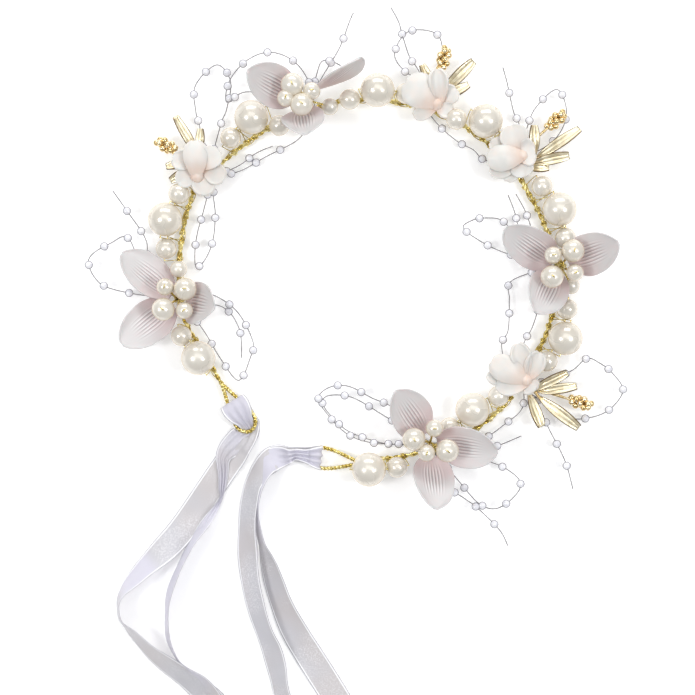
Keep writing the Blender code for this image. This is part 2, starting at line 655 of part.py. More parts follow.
def add_left_knot(finish):
    """The ribbon's fold inside the left eye: over the eye's sides, then down under its end."""
    half = EYE_WIDTH / 2 - EYE_WIRE - GAP
    bm = bmesh.new()
    rings = []
    for along, height, breadth in ((0.30, BAND_HEIGHT + EYE_WIRE + 0.0004, half),
                                   (0.55, BAND_HEIGHT + EYE_WIRE, half),
                                   (0.74, BAND_HEIGHT, half * 0.8),
                                   (0.90, RIBBON_THICKNESS / 2 + 0.0003, half * 0.62)):
        middle = eye_matrix("left") @ Vector((LEFT_EYE * along, 0, 0))
        across = eye_matrix("left").to_3x3() @ Vector((0, 1, 0))
        middle.z = height
        rings.append([bm.verts.new(middle + a * breadth * across + UP * b * RIBBON_THICKNESS / 2)
                      for a, b in ((-1, -1), (1, -1), (1, 1), (-1, 1))])
    for one, two in zip(rings, rings[1:]):
        for k in range(4):
            bm.faces.new((one[k], one[(k + 1) % 4], two[(k + 1) % 4], two[k]))
    bm.faces.new(rings[0])
    bm.faces.new(list(reversed(rings[-1])))
    place("ribbon_left_knot", mesh_from(bm), finish)


def add_right_knot(finish):
    """The ribbon's gathered turns round the flat end of the right eye, as a sleeve."""
    inner, outer, length = EYE_WIRE / 2 + 0.0005, BAND_HEIGHT - 0.0001, 0.0028
    bm = bmesh.new()
    corners = [bm.verts.new((0, along, reach)) for along, reach in
               ((-length / 2, inner), (length / 2, inner), (length / 2, outer), (-length / 2, outer))]
    edges = [bm.edges.new(pair) for pair in zip(corners, [*corners[1:], corners[0]])]
    bmesh.ops.spin(bm, geom=corners + edges, cent=(0, 0, 0), axis=(0, 1, 0), angle=2 * pi,
                   steps=16, use_merge=True)
    bmesh.ops.remove_doubles(bm, verts=bm.verts, dist=1e-6)
    where = Matrix.Translation(eye_end("right")) @ eye_matrix("right").to_3x3().to_4x4()
    place("ribbon_right_knot", mesh_from(bm), finish, where)


def build():
    clear_scene()
    gold = material("gold_wire", (0.83, 0.62, 0.27), 0.28, 1.0)
    cast = material("cast_gold", (0.86, 0.70, 0.42), 0.30, 1.0)
    pearl = material("pearl", (0.90, 0.86, 0.78), 0.18)
    frosted = material("frosted_petal", (0.86, 0.84, 0.85), 0.55)
    resin = material("ivory_resin", (0.93, 0.88, 0.85), 0.40)
    beads = material("beaded_line", (0.93, 0.93, 0.96), 0.20)
    ribbon = material("organza", (0.90, 0.89, 0.94), 0.60)
    add_band(gold)
    add_lashing(gold)
    add_pearls(pearl)
    add_orchids(frosted, pearl)
    add_flowers(resin)
    add_sprigs(cast)
    add_bead_lines(beads)
    add_ribbons(ribbon)


build()
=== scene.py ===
"""The finished look of a flower crown that lies flat on a white table, built round its CAD frame."""

from math import asin, atan2, cos, degrees, pi, radians, sin

import bmesh
import bpy
from mathutils import Matrix, Vector


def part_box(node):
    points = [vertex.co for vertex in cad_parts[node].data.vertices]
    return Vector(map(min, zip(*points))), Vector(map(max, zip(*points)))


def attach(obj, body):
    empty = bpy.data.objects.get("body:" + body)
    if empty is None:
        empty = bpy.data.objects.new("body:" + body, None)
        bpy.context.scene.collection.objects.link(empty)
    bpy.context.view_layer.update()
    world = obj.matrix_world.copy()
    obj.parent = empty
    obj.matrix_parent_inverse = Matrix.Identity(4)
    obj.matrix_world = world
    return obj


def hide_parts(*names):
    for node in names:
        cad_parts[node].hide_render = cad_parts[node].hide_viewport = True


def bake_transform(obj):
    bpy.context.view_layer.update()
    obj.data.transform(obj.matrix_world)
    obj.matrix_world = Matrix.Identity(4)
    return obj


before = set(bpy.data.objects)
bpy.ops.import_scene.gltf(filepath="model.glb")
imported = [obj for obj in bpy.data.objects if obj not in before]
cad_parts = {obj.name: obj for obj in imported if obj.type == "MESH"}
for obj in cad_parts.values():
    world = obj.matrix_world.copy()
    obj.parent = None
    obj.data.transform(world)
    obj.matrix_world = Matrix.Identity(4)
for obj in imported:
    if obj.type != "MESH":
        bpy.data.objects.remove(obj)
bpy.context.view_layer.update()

# ---------------------------------------------------------------------------------------------
# The table, the lights and the camera
# A white table top under soft boxes: two small ones left and right of the camera, a long low one
# behind, and a large one overhead that fills the shadows.

TABLE_RADIUS, TABLE_TOP = 6, -0.0004
CAMERA_PLACE = (-0.0070, -0.0252, 0.584)
# Soft boxes as (name, place, size, power). Each is aimed at the middle of the crown.
SOFT_BOXES = (
    ("soft_box_left", (-0.62, -0.10, 0.95), (0.24, 0.24), 3.6),
    ("soft_box_right", (0.62, -0.10, 0.95), (0.24, 0.24), 3.4),
    ("soft_box_behind", (0, 1.25, 0.62), (1.3, 0.42), 8.5),
    ("soft_box_overhead", (0.1, 0.45, 1.7), (1.6, 0.9), 5.5),
)


class Value:
    """A number or colour that runs through a finish's nodes."""

    def __init__(self, finish, socket):
        self.finish, self.socket = finish, socket

    def maths(self, operation, *values):
        return self.finish.node("Math", {"operation": operation}, dict(enumerate(values)))

    def __add__(self, other):
        return self.maths("ADD", self, other)

    def __sub__(self, other):
        return self.maths("SUBTRACT", self, other)

    def __rsub__(self, other):
        return self.maths("SUBTRACT", other, self)

    def __mul__(self, other):
        return self.maths("MULTIPLY", self, other)

    def __pow__(self, other):
        return self.maths("POWER", self, other)

    __radd__ = __add__
    __rmul__ = __mul__

    def wave(self):
        return self.maths("SINE", self)

    def size(self):
        return self.maths("ABSOLUTE", self)

    def ramp(self, low, high):
        """0 at low and 1 at high, and smooth between them."""
        return self.finish.node("MapRange", {"interpolation_type": "SMOOTHSTEP"},
                                {"Value": self, "From Min": low, "From Max": high})


class Finish:
    """A material, with short ways to add nodes to it."""

    def __init__(self, name, colour, roughness, **constants):
        self.material = bpy.data.materials.new(name)
        self.material.use_nodes = True
        self.tree = self.material.node_tree
        self.shader = self.tree.nodes["Principled BSDF"]
        self.put("Base Color", (*colour, 1))
        self.put("Roughness", roughness)
        for socket, value in constants.items():
            self.put(socket.replace("_", " "), value)

    def put(self, socket, value):
        self.join(self.shader.inputs[socket], value)

    def join(self, socket, value):
        if isinstance(value, Value):
            self.tree.links.new(value.socket, socket)
        else:
            socket.default_value = value

    def node(self, kind, settings=None, sockets=None, output=0):
        """Any node: its type, its settings, and the values or links of its sockets."""
        made = self.tree.nodes.new("ShaderNode" + kind)
        for name, value in (settings or {}).items():
            setattr(made, name, value)
        for name, value in (sockets or {}).items():
            self.join(made.inputs[name], value)
        return Value(self, made.outputs[output])

    def mix(self, share, first, second):
        colours = [c if isinstance(c, Value) else (*c, 1) for c in (first, second)]
        return self.node("Mix", {"data_type": "RGBA"}, {0: share, 6: colours[0], 7: colours[1]}, 2)

    def place(self):
        return self.node("TexCoord", output=3)

    def noise(self, scale, detail, at=None):
        """Soft patches, on the piece's own place or on the one that is given."""
        return self.node("TexNoise", None, {"Vector": at or self.place(), "Scale": scale,
                                            "Detail": detail})

    def edge_on(self, blend):
        """0 where a clear or glossy skin is seen face on, rising to 1 at its rim."""
        return self.node("LayerWeight", None, {"Blend": blend}, 1)

    def sheet_place(self):
        """(across, along) on a sheet, from its own map."""
        spot = self.node("UVMap", {"uv_map": "sheet"})
        parts = self.tree.nodes.new("ShaderNodeSeparateXYZ")
        self.join(parts.inputs[0], spot)
        return Value(self, parts.outputs[0]), Value(self, parts.outputs[1])

    def bump(self, height, strength, distance):
        self.put("Normal", self.node("Bump", None, {"Height": height, "Strength": strength,
                                                    "Distance": distance}))


def object_from(name, bm, finish):
    mesh = bpy.data.meshes.new(name)
    bm.to_mesh(mesh)
    bm.free()
    mesh.materials.append(finish.material)
    mesh.shade_smooth()
    obj = bpy.data.objects.new(name, mesh)
    bpy.context.scene.collection.objects.link(obj)
    return obj


def soft_box(name, place, size, power):
    light = bpy.data.lights.new(name, "AREA")
    light.shape = "RECTANGLE"
    light.size, light.size_y = size
    light.energy = power
    lamp = bpy.data.objects.new(name, light)
    lamp.location = place
    lamp.rotation_euler = (Vector() - Vector(place)).to_track_quat("-Z", "Y").to_euler()
    bpy.context.scene.collection.objects.link(lamp)


table_finish = Finish("table_white", (0.93, 0.93, 0.93), 0.9, Emission_Color=(1, 1, 1, 1),
                      Emission_Strength=0.22)
table = bmesh.new()
bmesh.ops.create_circle(table, cap_ends=True, radius=TABLE_RADIUS, segments=64)
bmesh.ops.translate(table, verts=table.verts, vec=(0, 0, TABLE_TOP))
object_from("table_top", table, table_finish)

world = bpy.data.worlds.new("studio")
world.use_nodes = True
world.node_tree.nodes["Background"].inputs["Color"].default_value = (0.97, 0.98, 1.0, 1)
world.node_tree.nodes["Background"].inputs["Strength"].default_value = 0.40
bpy.context.scene.world = world

for name, place, size, power in SOFT_BOXES:
    soft_box(name, place, size, power)

camera = bpy.data.cameras.new("camera")
camera.lens = 85
camera.sensor_width = 36
camera_object = bpy.data.objects.new("camera", camera)
camera_object.location = CAMERA_PLACE
bpy.context.scene.collection.objects.link(camera_object)
bpy.context.scene.camera = camera_object
bpy.context.scene.view_settings.view_transform = "Standard"

# ---------------------------------------------------------------------------------------------
# The band
# Two soft gold-plated wires twisted into one rope, which opens into an eye at each end. It is
# bent by hand, so it wanders a little about its circle.

MM = 0.001
UP = Vector((0, 0, 1))
RING_RADIUS = 0.066
BAND_WIRE = 0.0018
EYE_WIRE = 0.0014
EYE_WIDTH = 0.0086
LEFT_EYE, RIGHT_EYE = 0.0195, 0.0160
BAND_HEIGHT = 0.0022
STRAND_RADIUS = 0.00044
TWIST, EYE_TWIST = 0.0058, 0.0026
# The band's bends as (angle, mm beyond the ring's radius), from the left eye to the right one.
BAND_BENDS = (
    (216.5, -1.9), (206, -2.4), (193, 0.6), (180, 0.4), (162, 1.6), (151, 2.3), (141, -0.8),
    (132, -2.2), (120, -3.1), (102, -3.3), (81, -3.4), (55, -2.6), (28, -1.6), (16, -0.6),
    (5, 1.8), (-4, 2.0), (-14, 0.8), (-28, 0.1), (-48, 0.6), (-64, -0.4), (-84, -1.0), (-92, 0.3),
)


def between(before, start, end, after, share):
    """A smooth curve through four values, between the middle two."""
    return 0.5 * (
        2 * start
        + (end - before) * share
        + (2 * before - 5 * start + 4 * end - after) * share ** 2
        + (3 * start - before - 3 * end + after) * share ** 3
    )


def smooth_route(points, steps):
    """Points on a smooth curve through the given ones, with this many steps to each stretch."""
    route = []
    for i in range(len(points) - 1):
        before = points[max(i - 1, 0)]
        after = points[min(i + 2, len(points) - 1)]
        route += [between(before, points[i], points[i + 1], after, k / steps) for k in range(steps)]
    return [*route, points[-1]]


def spaced(route, pitch):
    """The route again, with its points an even distance apart, close to the pitch."""
    length = sum((b - a).length for a, b in zip(route, route[1:]))
    count = max(round(length / pitch), 1)
    points, gone, wanted = [route[0]], 0.0, length / count
    for a, b in zip(route, route[1:]):
        step = (b - a).length
        while step > 0 and len(points) < count and wanted <= gone + step:
            points.append(a.lerp(b, (wanted - gone) / step))
            wanted += length / count
        gone += step
    return [*points, route[-1]]


def outward(angle):
    """The direction away from the ring's middle at an angle."""
    return Vector((cos(radians(angle)), sin(radians(angle)), 0))


def band_point(angle):
    """The middle of the band wire at an angle."""
    bends = BAND_BENDS
    i = 0
    while i < len(bends) - 2 and angle < bends[i + 1][0]:
        i += 1
    share = (bends[i][0] - angle) / (bends[i][0] - bends[i + 1][0])
    before, after = bends[max(i - 1, 0)][1], bends[min(i + 2, len(bends) - 1)][1]
    out = between(before, bends[i][1], bends[i + 1][1], after, min(max(share, 0), 1)) * MM
    return outward(angle) * (RING_RADIUS + out) + UP * BAND_HEIGHT


def eye_route(length, width, end_flat):
    """A teardrop loop in its own frame: the neck at the origin, the rounded end along +X."""
    half = width / 2 - EYE_WIRE / 2
    side = [Vector((0, 0, 0)), Vector((length * 0.28, half * 0.42, 0)),
            Vector((length * 0.6, half * 0.86, 0)), Vector((length * 0.82, half, 0)),
            Vector((length * 0.95, half * (0.62 + 0.3 * end_flat), 0)), Vector((length, 0, 0))]
    other = [Vector((p.x, -p.y, 0)) for p in reversed(side[:-1])]
    return smooth_route(side + other, 8)


def eye_matrix(side):
    """Where an eye's neck sits and which way it points."""
    angle, turn = (BAND_BENDS[0][0], -58) if side == "left" else (BAND_BENDS[-1][0], 172)
    return Matrix.Translation(band_point(angle)) @ Matrix.Rotation(radians(turn), 4, "Z")


def winding(route, reach, pitch, around, start=0.0):
    """A helix about a route: its distance from it, its pitch, its points to a turn, its start."""
    line = spaced(route, pitch / around)
    points = []
    for k, spot in enumerate(line):
        ahead = (line[min(k + 1, len(line) - 1)] - line[max(k - 1, 0)]).normalized()
        side = ahead.cross(UP).normalized()
        turn = start + 2 * pi * k / around
        points.append(spot + (side * cos(turn) + ahead.cross(side) * sin(turn)) * reach)
    return points


def wires(name, routes, radius, finish, sides=2):
    """Round wires of one radius along routes, all in one piece."""
    curve = bpy.data.curves.new(name, "CURVE")
    curve.dimensions = "3D"
    curve.bevel_depth = MM
    curve.bevel_resolution = sides
    curve.use_fill_caps = True
    for route in routes:
        line = curve.splines.new("POLY")
        line.points.add(len(route) - 1)
        for point, place in zip(line.points, route):
            point.co = (*place, 1)
            point.radius = radius / MM
        line.use_smooth = True
    curve.materials.append(finish.material)
    obj = bpy.data.objects.new(name, curve)
    bpy.context.scene.collection.objects.link(obj)
    return obj


def fit(obj, body, slot, *nodes):
    """The piece moves with a body and stands for these CAD nodes, which it hides. The slot is not
    used.
    """
    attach(obj, body)
    if nodes:
        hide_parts(*nodes)


gold = Finish("gold_plated_wire", (0.95, 0.71, 0.25), 0.2, Metallic=1.0)
tarnish = gold.noise(420, 3).ramp(0.42, 0.62)
gold.put("Base Color", gold.mix(tarnish, (0.62, 0.48, 0.13), (0.90, 0.79, 0.38)))
gold.put("Roughness", 0.16 + 0.14 * tarnish)
gold.bump(gold.noise(2600, 2), 0.12, 0.0001)

first, last = BAND_BENDS[0][0], BAND_BENDS[-1][0]
band_route = [band_point(first + (last - first) * k / 220) for k in range(221)]
strands = [winding(band_route, BAND_WIRE / 4, TWIST, 12, turn) for turn in (0, pi)]
for side, length, flat in (("left", LEFT_EYE, 0), ("right", RIGHT_EYE, 1)):
    loop = [eye_matrix(side) @ p for p in eye_route(length, EYE_WIDTH, flat)]
    strands += [winding(loop, EYE_WIRE / 4, EYE_TWIST, 8, turn) for turn in (0, pi)]
fit(wires("twisted_band", strands, STRAND_RADIUS, gold), "crown", "gold_wire", "band_wire")

# ---------------------------------------------------------------------------------------------
# The lashing
# Finer gold wire that runs along the band in a long spiral and is wound tight beside every
# pearl and stem, where it holds them.

LASHING_WIRE = 0.00036
LASHING_REACH = BAND_WIRE / 2 + 0.00022
LONG_PITCH, TIGHT_PITCH = 0.0145, 0.00044
TURNS_FROM_PEARL = 2.4

pearl_nodes = [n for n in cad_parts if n.startswith(("pearl_large", "pearl_medium"))]


def middle_of(node):
    """The middle of a CAD node's box."""
    low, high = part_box(node)
    return (Vector(low) + Vector(high)) / 2


def angle_of(place):
    """The angle about the ring, from the right eye's end round to the left one's."""
    angle = degrees(atan2(place.y, place.x))
    return angle + 360 if angle < -95 else angle


lashing = [winding(band_route, LASHING_REACH, LONG_PITCH, 16, 1.0)]
for node in pearl_nodes:
    angle = angle_of(middle_of(node))
    for offset in (-TURNS_FROM_PEARL, TURNS_FROM_PEARL):
        stretch = [band_point(angle + offset + 0.1 * k) for k in range(-5, 6)]
        lashing.append(winding(stretch, LASHING_REACH, TIGHT_PITCH, 10, offset))
fit(wires("lashing_turns", lashing, LASHING_WIRE / 2, gold, 1), "crown", "gold_wire",
    "lashing_wire")

# ---------------------------------------------------------------------------------------------
# The strung pearls
# Moulded pearls with a nacre coating in two sizes. A wire goes through each one's hole, along
# the ring, and both its ends are brought down to the band.

PEARL_BORE = 0.0012
STRINGING_RADIUS = 0.00017
COUNTERSINK = 0.0006

nacre = Finish("pearl_nacre", (0.90, 0.86, 0.78), 0.3, Metallic=0.22, Coat_Weight=1.0,
               Coat_Roughness=0.07, Coat_IOR=1.6, Coat_Tint=(1.0, 0.97, 0.92, 1),
               Sheen_Weight=0.35, Sheen_Roughness=0.35, Sheen_Tint=(1.0, 0.80, 0.55, 1),
               Specular_IOR_Level=0.8)
cloud = nacre.noise(110, 2).ramp(0.3, 0.72)
lustre = nacre.mix(cloud, (0.77, 0.74, 0.68), (0.79, 0.775, 0.735))
# Painted sheen: the base colour turns warm towards each pearl's rim, where it is seen edge on.
painted_sheen_rim = nacre.edge_on(0.5).ramp(0.45, 0.95)
nacre.put("Base Color", nacre.mix(painted_sheen_rim * 0.8, lustre, (0.80, 0.66, 0.44)))
nacre.put("Roughness", 0.24 + 0.08 * cloud)
nacre.bump(nacre.noise(900, 2), 0.05, 0.0002)


def pearl(bm, middle, diameter, turn, around=40, rings=22):
    """A ball with a hole through it, whose mouth is softly rounded, turned about +Z."""
    radius, edge = diameter / 2, asin(PEARL_BORE / diameter)
    made = bmesh.new()
    profile = [(radius * cos(edge * 0.6) - COUNTERSINK, PEARL_BORE / 2 * 0.98)]
    for k in range(rings + 1):
        angle = edge + (pi - 2 * edge) * k / rings
        profile.append((radius * cos(angle), radius * sin(angle)))
    profile.append((-profile[0][0], profile[0][1]))
    verts = [made.verts.new((x, y, 0)) for x, y in profile]
    edges = [made.edges.new(pair) for pair in zip(verts, [*verts[1:], verts[0]])]
    bmesh.ops.spin(made, geom=verts + edges, axis=(1, 0, 0), angle=2 * pi, steps=around,
                   use_merge=True)
    bmesh.ops.remove_doubles(made, verts=made.verts, dist=1e-6)
    bmesh.ops.recalc_face_normals(made, faces=made.faces)
    where = Matrix.Translation(middle) @ Matrix.Rotation(turn, 4, "Z")
    bmesh.ops.transform(made, matrix=where, verts=made.verts)
    merge(bm, made)


def merge(bm, made):
    """Adds one bmesh to another."""
    mesh = bpy.data.meshes.new("part")
    made.to_mesh(mesh)
    made.free()
    bm.from_mesh(mesh)
    bpy.data.meshes.remove(mesh)


stringing = []
for node in pearl_nodes:
    middle, angle = middle_of(node), angle_of(middle_of(node))
    low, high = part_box(node)
    diameter = high[2] - low[2]
    bm = bmesh.new()
    pearl(bm, middle, diameter, radians(angle + 90))
    fit(object_from(f"{node}_bead", bm, nacre), "crown", "pearl", node)
    along = UP.cross(outward(angle))
    reach = diameter / 2
    down = (band_point(angle) - middle).normalized()
    half = degrees(reach / RING_RADIUS)
    for way in (-1, 1):
        mouth = middle + along * way * reach
        stringing.append(smooth_route([
            middle, mouth, mouth + along * way * 0.0006 + down * 0.0005,
            band_point(angle + way * half * 0.86) - down * 0.0009,
            band_point(angle + way * half * 0.62) + down * 0.0002], 5))
fit(wires("pearl_stringing", stringing, STRINGING_RADIUS, gold, 1), "crown", "gold_wire")

# ---------------------------------------------------------------------------------------------
# The orchids
# Three cupped petals of frosted plastic film on a wire, pressed with fine ribs down the middle
# and tinted mauve towards the heart.

PETAL_LENGTH = 0.023
PETAL_WIDTH = 0.015
PETAL_CUP = 0.0018
PETAL_FILM = 0.00045
RIBS = 13
SEAT = 0.0016
ORCHID_HEIGHT = BAND_HEIGHT + SEAT + 0.0008
MEDIUM_PEARL, SMALL_PEARL = 0.008, 0.006
# Each orchid: its angle, its distances out and up in mm, its petals as (turn, pitch, roll, mm from
# the middle), its heart's pearls as (mm out, mm along the band, diameter), and its single pearls
# as (angle, lean).
ORCHIDS = {
    "left": (187, 0.8, 0, ((-45, 12, 30, 2.6), (33, 12, 0, 2.6), (161, 56, 0, 3.0)),
             ((-4.0, -2.8, MEDIUM_PEARL), (2.8, -4.4, SMALL_PEARL),
              (4.4, 3.2, MEDIUM_PEARL), (-2.9, 4.5, SMALL_PEARL)),
             ((178, 90),)),
    "top": (111, 3.6, 3, ((47, 42, 0, 2.6), (-79, 40, 80, 7.1), (169, 58, 0, 3.8)),
            ((4.1, 0.9, MEDIUM_PEARL), (-0.4, -4.6, SMALL_PEARL),
             (0.6, 4.6, SMALL_PEARL), (-3.4, 0.3, MEDIUM_PEARL)),
            ((102.5, 112),)),
    "right": (3, 0.0, 0, ((144, 20, -20, 2.6), (-123, 41, 0, 3.0), (19, 43, 6, 3.4)),
              ((-3.5, 3.4, SMALL_PEARL), (3.5, 4.6, MEDIUM_PEARL),
               (-4.2, -4.0, MEDIUM_PEARL), (3.8, -3.0, SMALL_PEARL)),
              ((-2.7, 30),)),
    "bottom": (-69.5, -3.0, 3, ((-165, 32, 12, 3.2), (64, 24, 18, 2.6), (-17, 40, -14, 5.2)),
               ((-3.5, -5.0, MEDIUM_PEARL), (-4.6, 2.9, SMALL_PEARL),
                (2.4, -2.6, SMALL_PEARL), (4.2, 4.4, MEDIUM_PEARL)),
               ()),
}

frosted = Finish("frosted_petal_film", (0.82, 0.80, 0.81), 0.42, Subsurface_Weight=0.3,
                 Subsurface_Radius=(0.003, 0.002, 0.002), Subsurface_Scale=0.5,
                 Coat_Weight=0.12, Coat_Roughness=0.4, Sheen_Weight=0.15)
across, along = frosted.sheet_place()
# Painted shade and highlight on the pressed ribs: each rib gets a thin dark line and, a little to
# one side, a thin pale line.
rib_shade_wave = (across * RIBS * 2 * pi).wave() * 0.5 + 0.5
edges = (across * RIBS * 2 * pi + 2.2).wave() * 0.5 + 0.5
rib_area = (1 - (across - 0.5).size().ramp(0.17, 0.33)) * along.ramp(0.10, 0.30) * (
    1 - along.ramp(0.55, 0.80))
tint = frosted.mix(along.ramp(0.10, 0.70), (0.69, 0.575, 0.58), (0.715, 0.70, 0.70))
streak = frosted.noise(90, 3, frosted.node("UVMap", {"uv_map": "sheet"})).ramp(0.4, 0.7)
# Painted shade: the thin dark line along each rib.
tint = frosted.mix(rib_area * (rib_shade_wave ** 5) * 0.85, tint, (0.34, 0.28, 0.30))
# Painted highlight: the thin pale line beside each rib.
frosted.put("Base Color", frosted.mix(rib_area * (edges ** 5) * 0.8, tint, (0.95, 0.94, 0.94)))
frosted.put("Alpha", 0.84 + 0.12 * rib_area)
frosted.put("Roughness", 0.34 + 0.16 * streak)
frosted.bump(frosted.noise(1800, 2), 0.08, 0.0002)


def sheet_grid(along, across):
    """A grid whose map runs 0 to 1 across in u and 0 to 1 along in v."""
    bm = bmesh.new()
    bmesh.ops.create_grid(bm, x_segments=along, y_segments=across, size=1)
    layer = bm.loops.layers.uv.new("sheet")
    for face in bm.faces:
        for loop in face.loops:
            loop[layer].uv = ((loop.vert.co.y + 1) / 2, (loop.vert.co.x + 1) / 2)
    return bm


def wall(obj, thickness):
    """Gives a sheet its thickness, half of it to each side."""
    made = obj.modifiers.new("wall", "SOLIDIFY")
    made.thickness = thickness
    made.offset = 0


def egg_breadth(share):
    """The share of a petal's full width at a share of its length: an egg with a soft point."""
    if share < 0.5:
        return max(sin(pi * (0.05 + 0.935 * share) ** 0.85), 0) ** 0.72
    return 0.985 * max(1 - ((share - 0.42) / 0.58) ** 2.3, 0) ** 0.62


def beside_band(angle, out, along, height):
    """A place by its distances in mm from the band, outwards and anticlockwise along it."""
    middle = band_point(angle)
    side = UP.cross(outward(angle))
    place_at = middle + (outward(angle) * out + side * along) * MM
    return Vector((place_at.x, place_at.y, height))


def orchid_petal(name, where):
    """An egg-shaped petal, cupped across and lengthwise, with ribs down its middle."""
    bm = sheet_grid(40, 56)
    for vert in bm.verts:
        share, side = 0.992 * (vert.co.x + 1) / 2, vert.co.y
        breadth = egg_breadth(share)
        ripple = 0.00016 * sin(pi * RIBS * (side + 1)) * max(1 - abs(side) * 1.7, 0)
        ripple *= max(sin(pi * min(max((share - 0.1) / 0.68, 0), 1)), 0)
        lift = PETAL_CUP * side ** 2 * breadth + PETAL_CUP * 0.5 * share ** 2
        curl = 0.0007 * sin(5 * share + 2 * side) * abs(side) ** 3
        vert.co = where @ Vector((PETAL_LENGTH * share, side * PETAL_WIDTH / 2 * breadth,
                                  lift + ripple + curl))
    petal = object_from(name, bm, frosted)
    wall(petal, PETAL_FILM)
    return petal


for name, (angle, out, up, petals, _, _) in ORCHIDS.items():
    middle = beside_band(angle, out, 0, ORCHID_HEIGHT + up * MM)
    for count, (turn, pitch, roll, distance) in enumerate(petals, 1):
        facing = Matrix.Rotation(radians(angle + turn), 4, "Z")
        root = Matrix.Translation(middle) @ facing @ Matrix.Translation((distance * MM, 0, 0))
        tilt = Matrix.Rotation(radians(-pitch), 4, "Y") @ Matrix.Rotation(radians(roll), 4, "X")
        node = f"orchid_{name}_petal_{count}"
        fit(orchid_petal(f"{node}_film", root @ tilt), "crown", "frosted_petal", node)

# ---------------------------------------------------------------------------------------------
# The orchids' hearts
# Small pearls on stalks of twisted gold wire, bound where they meet with the same wire, which
# also ties the petals to the band.

KNOT_RISE, HEART_RISE = 0.0026, 0.0080
STALK_RADIUS = 0.00021
STALK_REACH, STALK_TWIST = 0.00026, 0.0016
BINDING_REACH, BINDING_PITCH = 0.0012, 0.00045
POST_REACH, POST_PITCH = 0.0010, 0.0022
COIL_HEIGHT, COIL_PITCH = 0.0012, 0.00046
BAND_TURNS_REACH, BAND_TURNS_PITCH = LASHING_REACH + 0.0002, 0.0005
# Coils of the binding wire about the knot, as (reach, rise) in mm.
HEART_COILS = ((0.9, 6.2), (1.3, 5.0), (1.7, 3.8), (2.1, 2.4))


def seated(angle, lean, diameter):
    """The middle of a pearl that rests against the lashed band."""
    reach = diameter / 2 + SEAT
    direction = outward(angle) * cos(radians(lean)) + UP * sin(radians(lean))
    return band_point(angle) + direction * reach


def stalk(line):
    """Two strands of wire, twisted about a line."""
    return [winding(line, STALK_REACH, STALK_TWIST, 8, turn) for turn in (0, pi)]


for name, (angle, out, up, _, heart, singles) in ORCHIDS.items():
    knot = beside_band(angle, out, 0, ORCHID_HEIGHT + up * MM + KNOT_RISE)
    stalks = []
    bm = bmesh.new()
    for count, (pearl_out, along_band, diameter) in enumerate(heart):
        spot = beside_band(angle, out + pearl_out, along_band, knot.z + HEART_RISE)
        pearl(bm, spot, diameter, radians(angle + 50 * count), 36, 18)
        foot = knot - UP * 0.002
        bend = knot.lerp(spot, 0.45) - UP * 0.0012
        line = smooth_route([foot, knot.lerp(bend, 0.4), bend, spot - UP * diameter * 0.42], 5)
        stalks += stalk(line)
        top = spot + UP * (diameter / 2 + 0.0001)
        side = outward(angle + 70 * count) * 0.0007
        stalks.append(smooth_route([top - side - UP * 0.0003, top, top + side - UP * 0.0003], 3))
    for single_angle, lean in singles:
        spot = seated(single_angle, lean, SMALL_PEARL)
        pearl(bm, spot, SMALL_PEARL, radians(single_angle + 90), 36, 18)
        line = smooth_route([knot - UP * 0.002, knot.lerp(spot, 0.5) + UP * 0.0006, spot], 5)
        stalks += stalk(line)
    fit(object_from(f"orchid_{name}_heart", bm, nacre), "crown", "pearl", f"orchid_{name}_pearls")
    binding = [knot + UP * (0.0030 * k / 12 - 0.0034) for k in range(13)]
    stalks.append(winding(binding, BINDING_REACH, BINDING_PITCH, 14))
    post = [knot + UP * (0.0062 * k / 12) for k in range(13)]
    stalks += [winding(post, POST_REACH, POST_PITCH, 14, turn) for turn in (0, 2.1, 4.2)]
    for reach, rise in HEART_COILS:
        coil = [knot + UP * (rise * MM + COIL_HEIGHT * k / 8) for k in range(9)]
        stalks.append(winding(coil, reach * MM, COIL_PITCH, 14))
    around = [band_point(angle + 0.28 * k) for k in range(-8, 9)]
    stalks.append(winding(around, BAND_TURNS_REACH, BAND_TURNS_PITCH, 10))
    fit(wires(f"orchid_{name}_stalks", stalks, STALK_RADIUS, gold, 1), "crown", "gold_wire")

# ---------------------------------------------------------------------------------------------
# The resin flowers
# Thick rounded petals of milky resin with a peach blush near the heart, glued round a bud and
# set over a gold sprig.

RESIN_WALL = 0.0011
BUD_RADIUS = 0.0024
# The flowers' hubs as (angle, mm out from the band).
FLOWERS = ((146.8, 2.6), (70.4, 4.5), (39.6, 2.4), (-33.4, -5.4))
FLOWER_HEIGHT = BAND_HEIGHT + SEAT + 0.0014
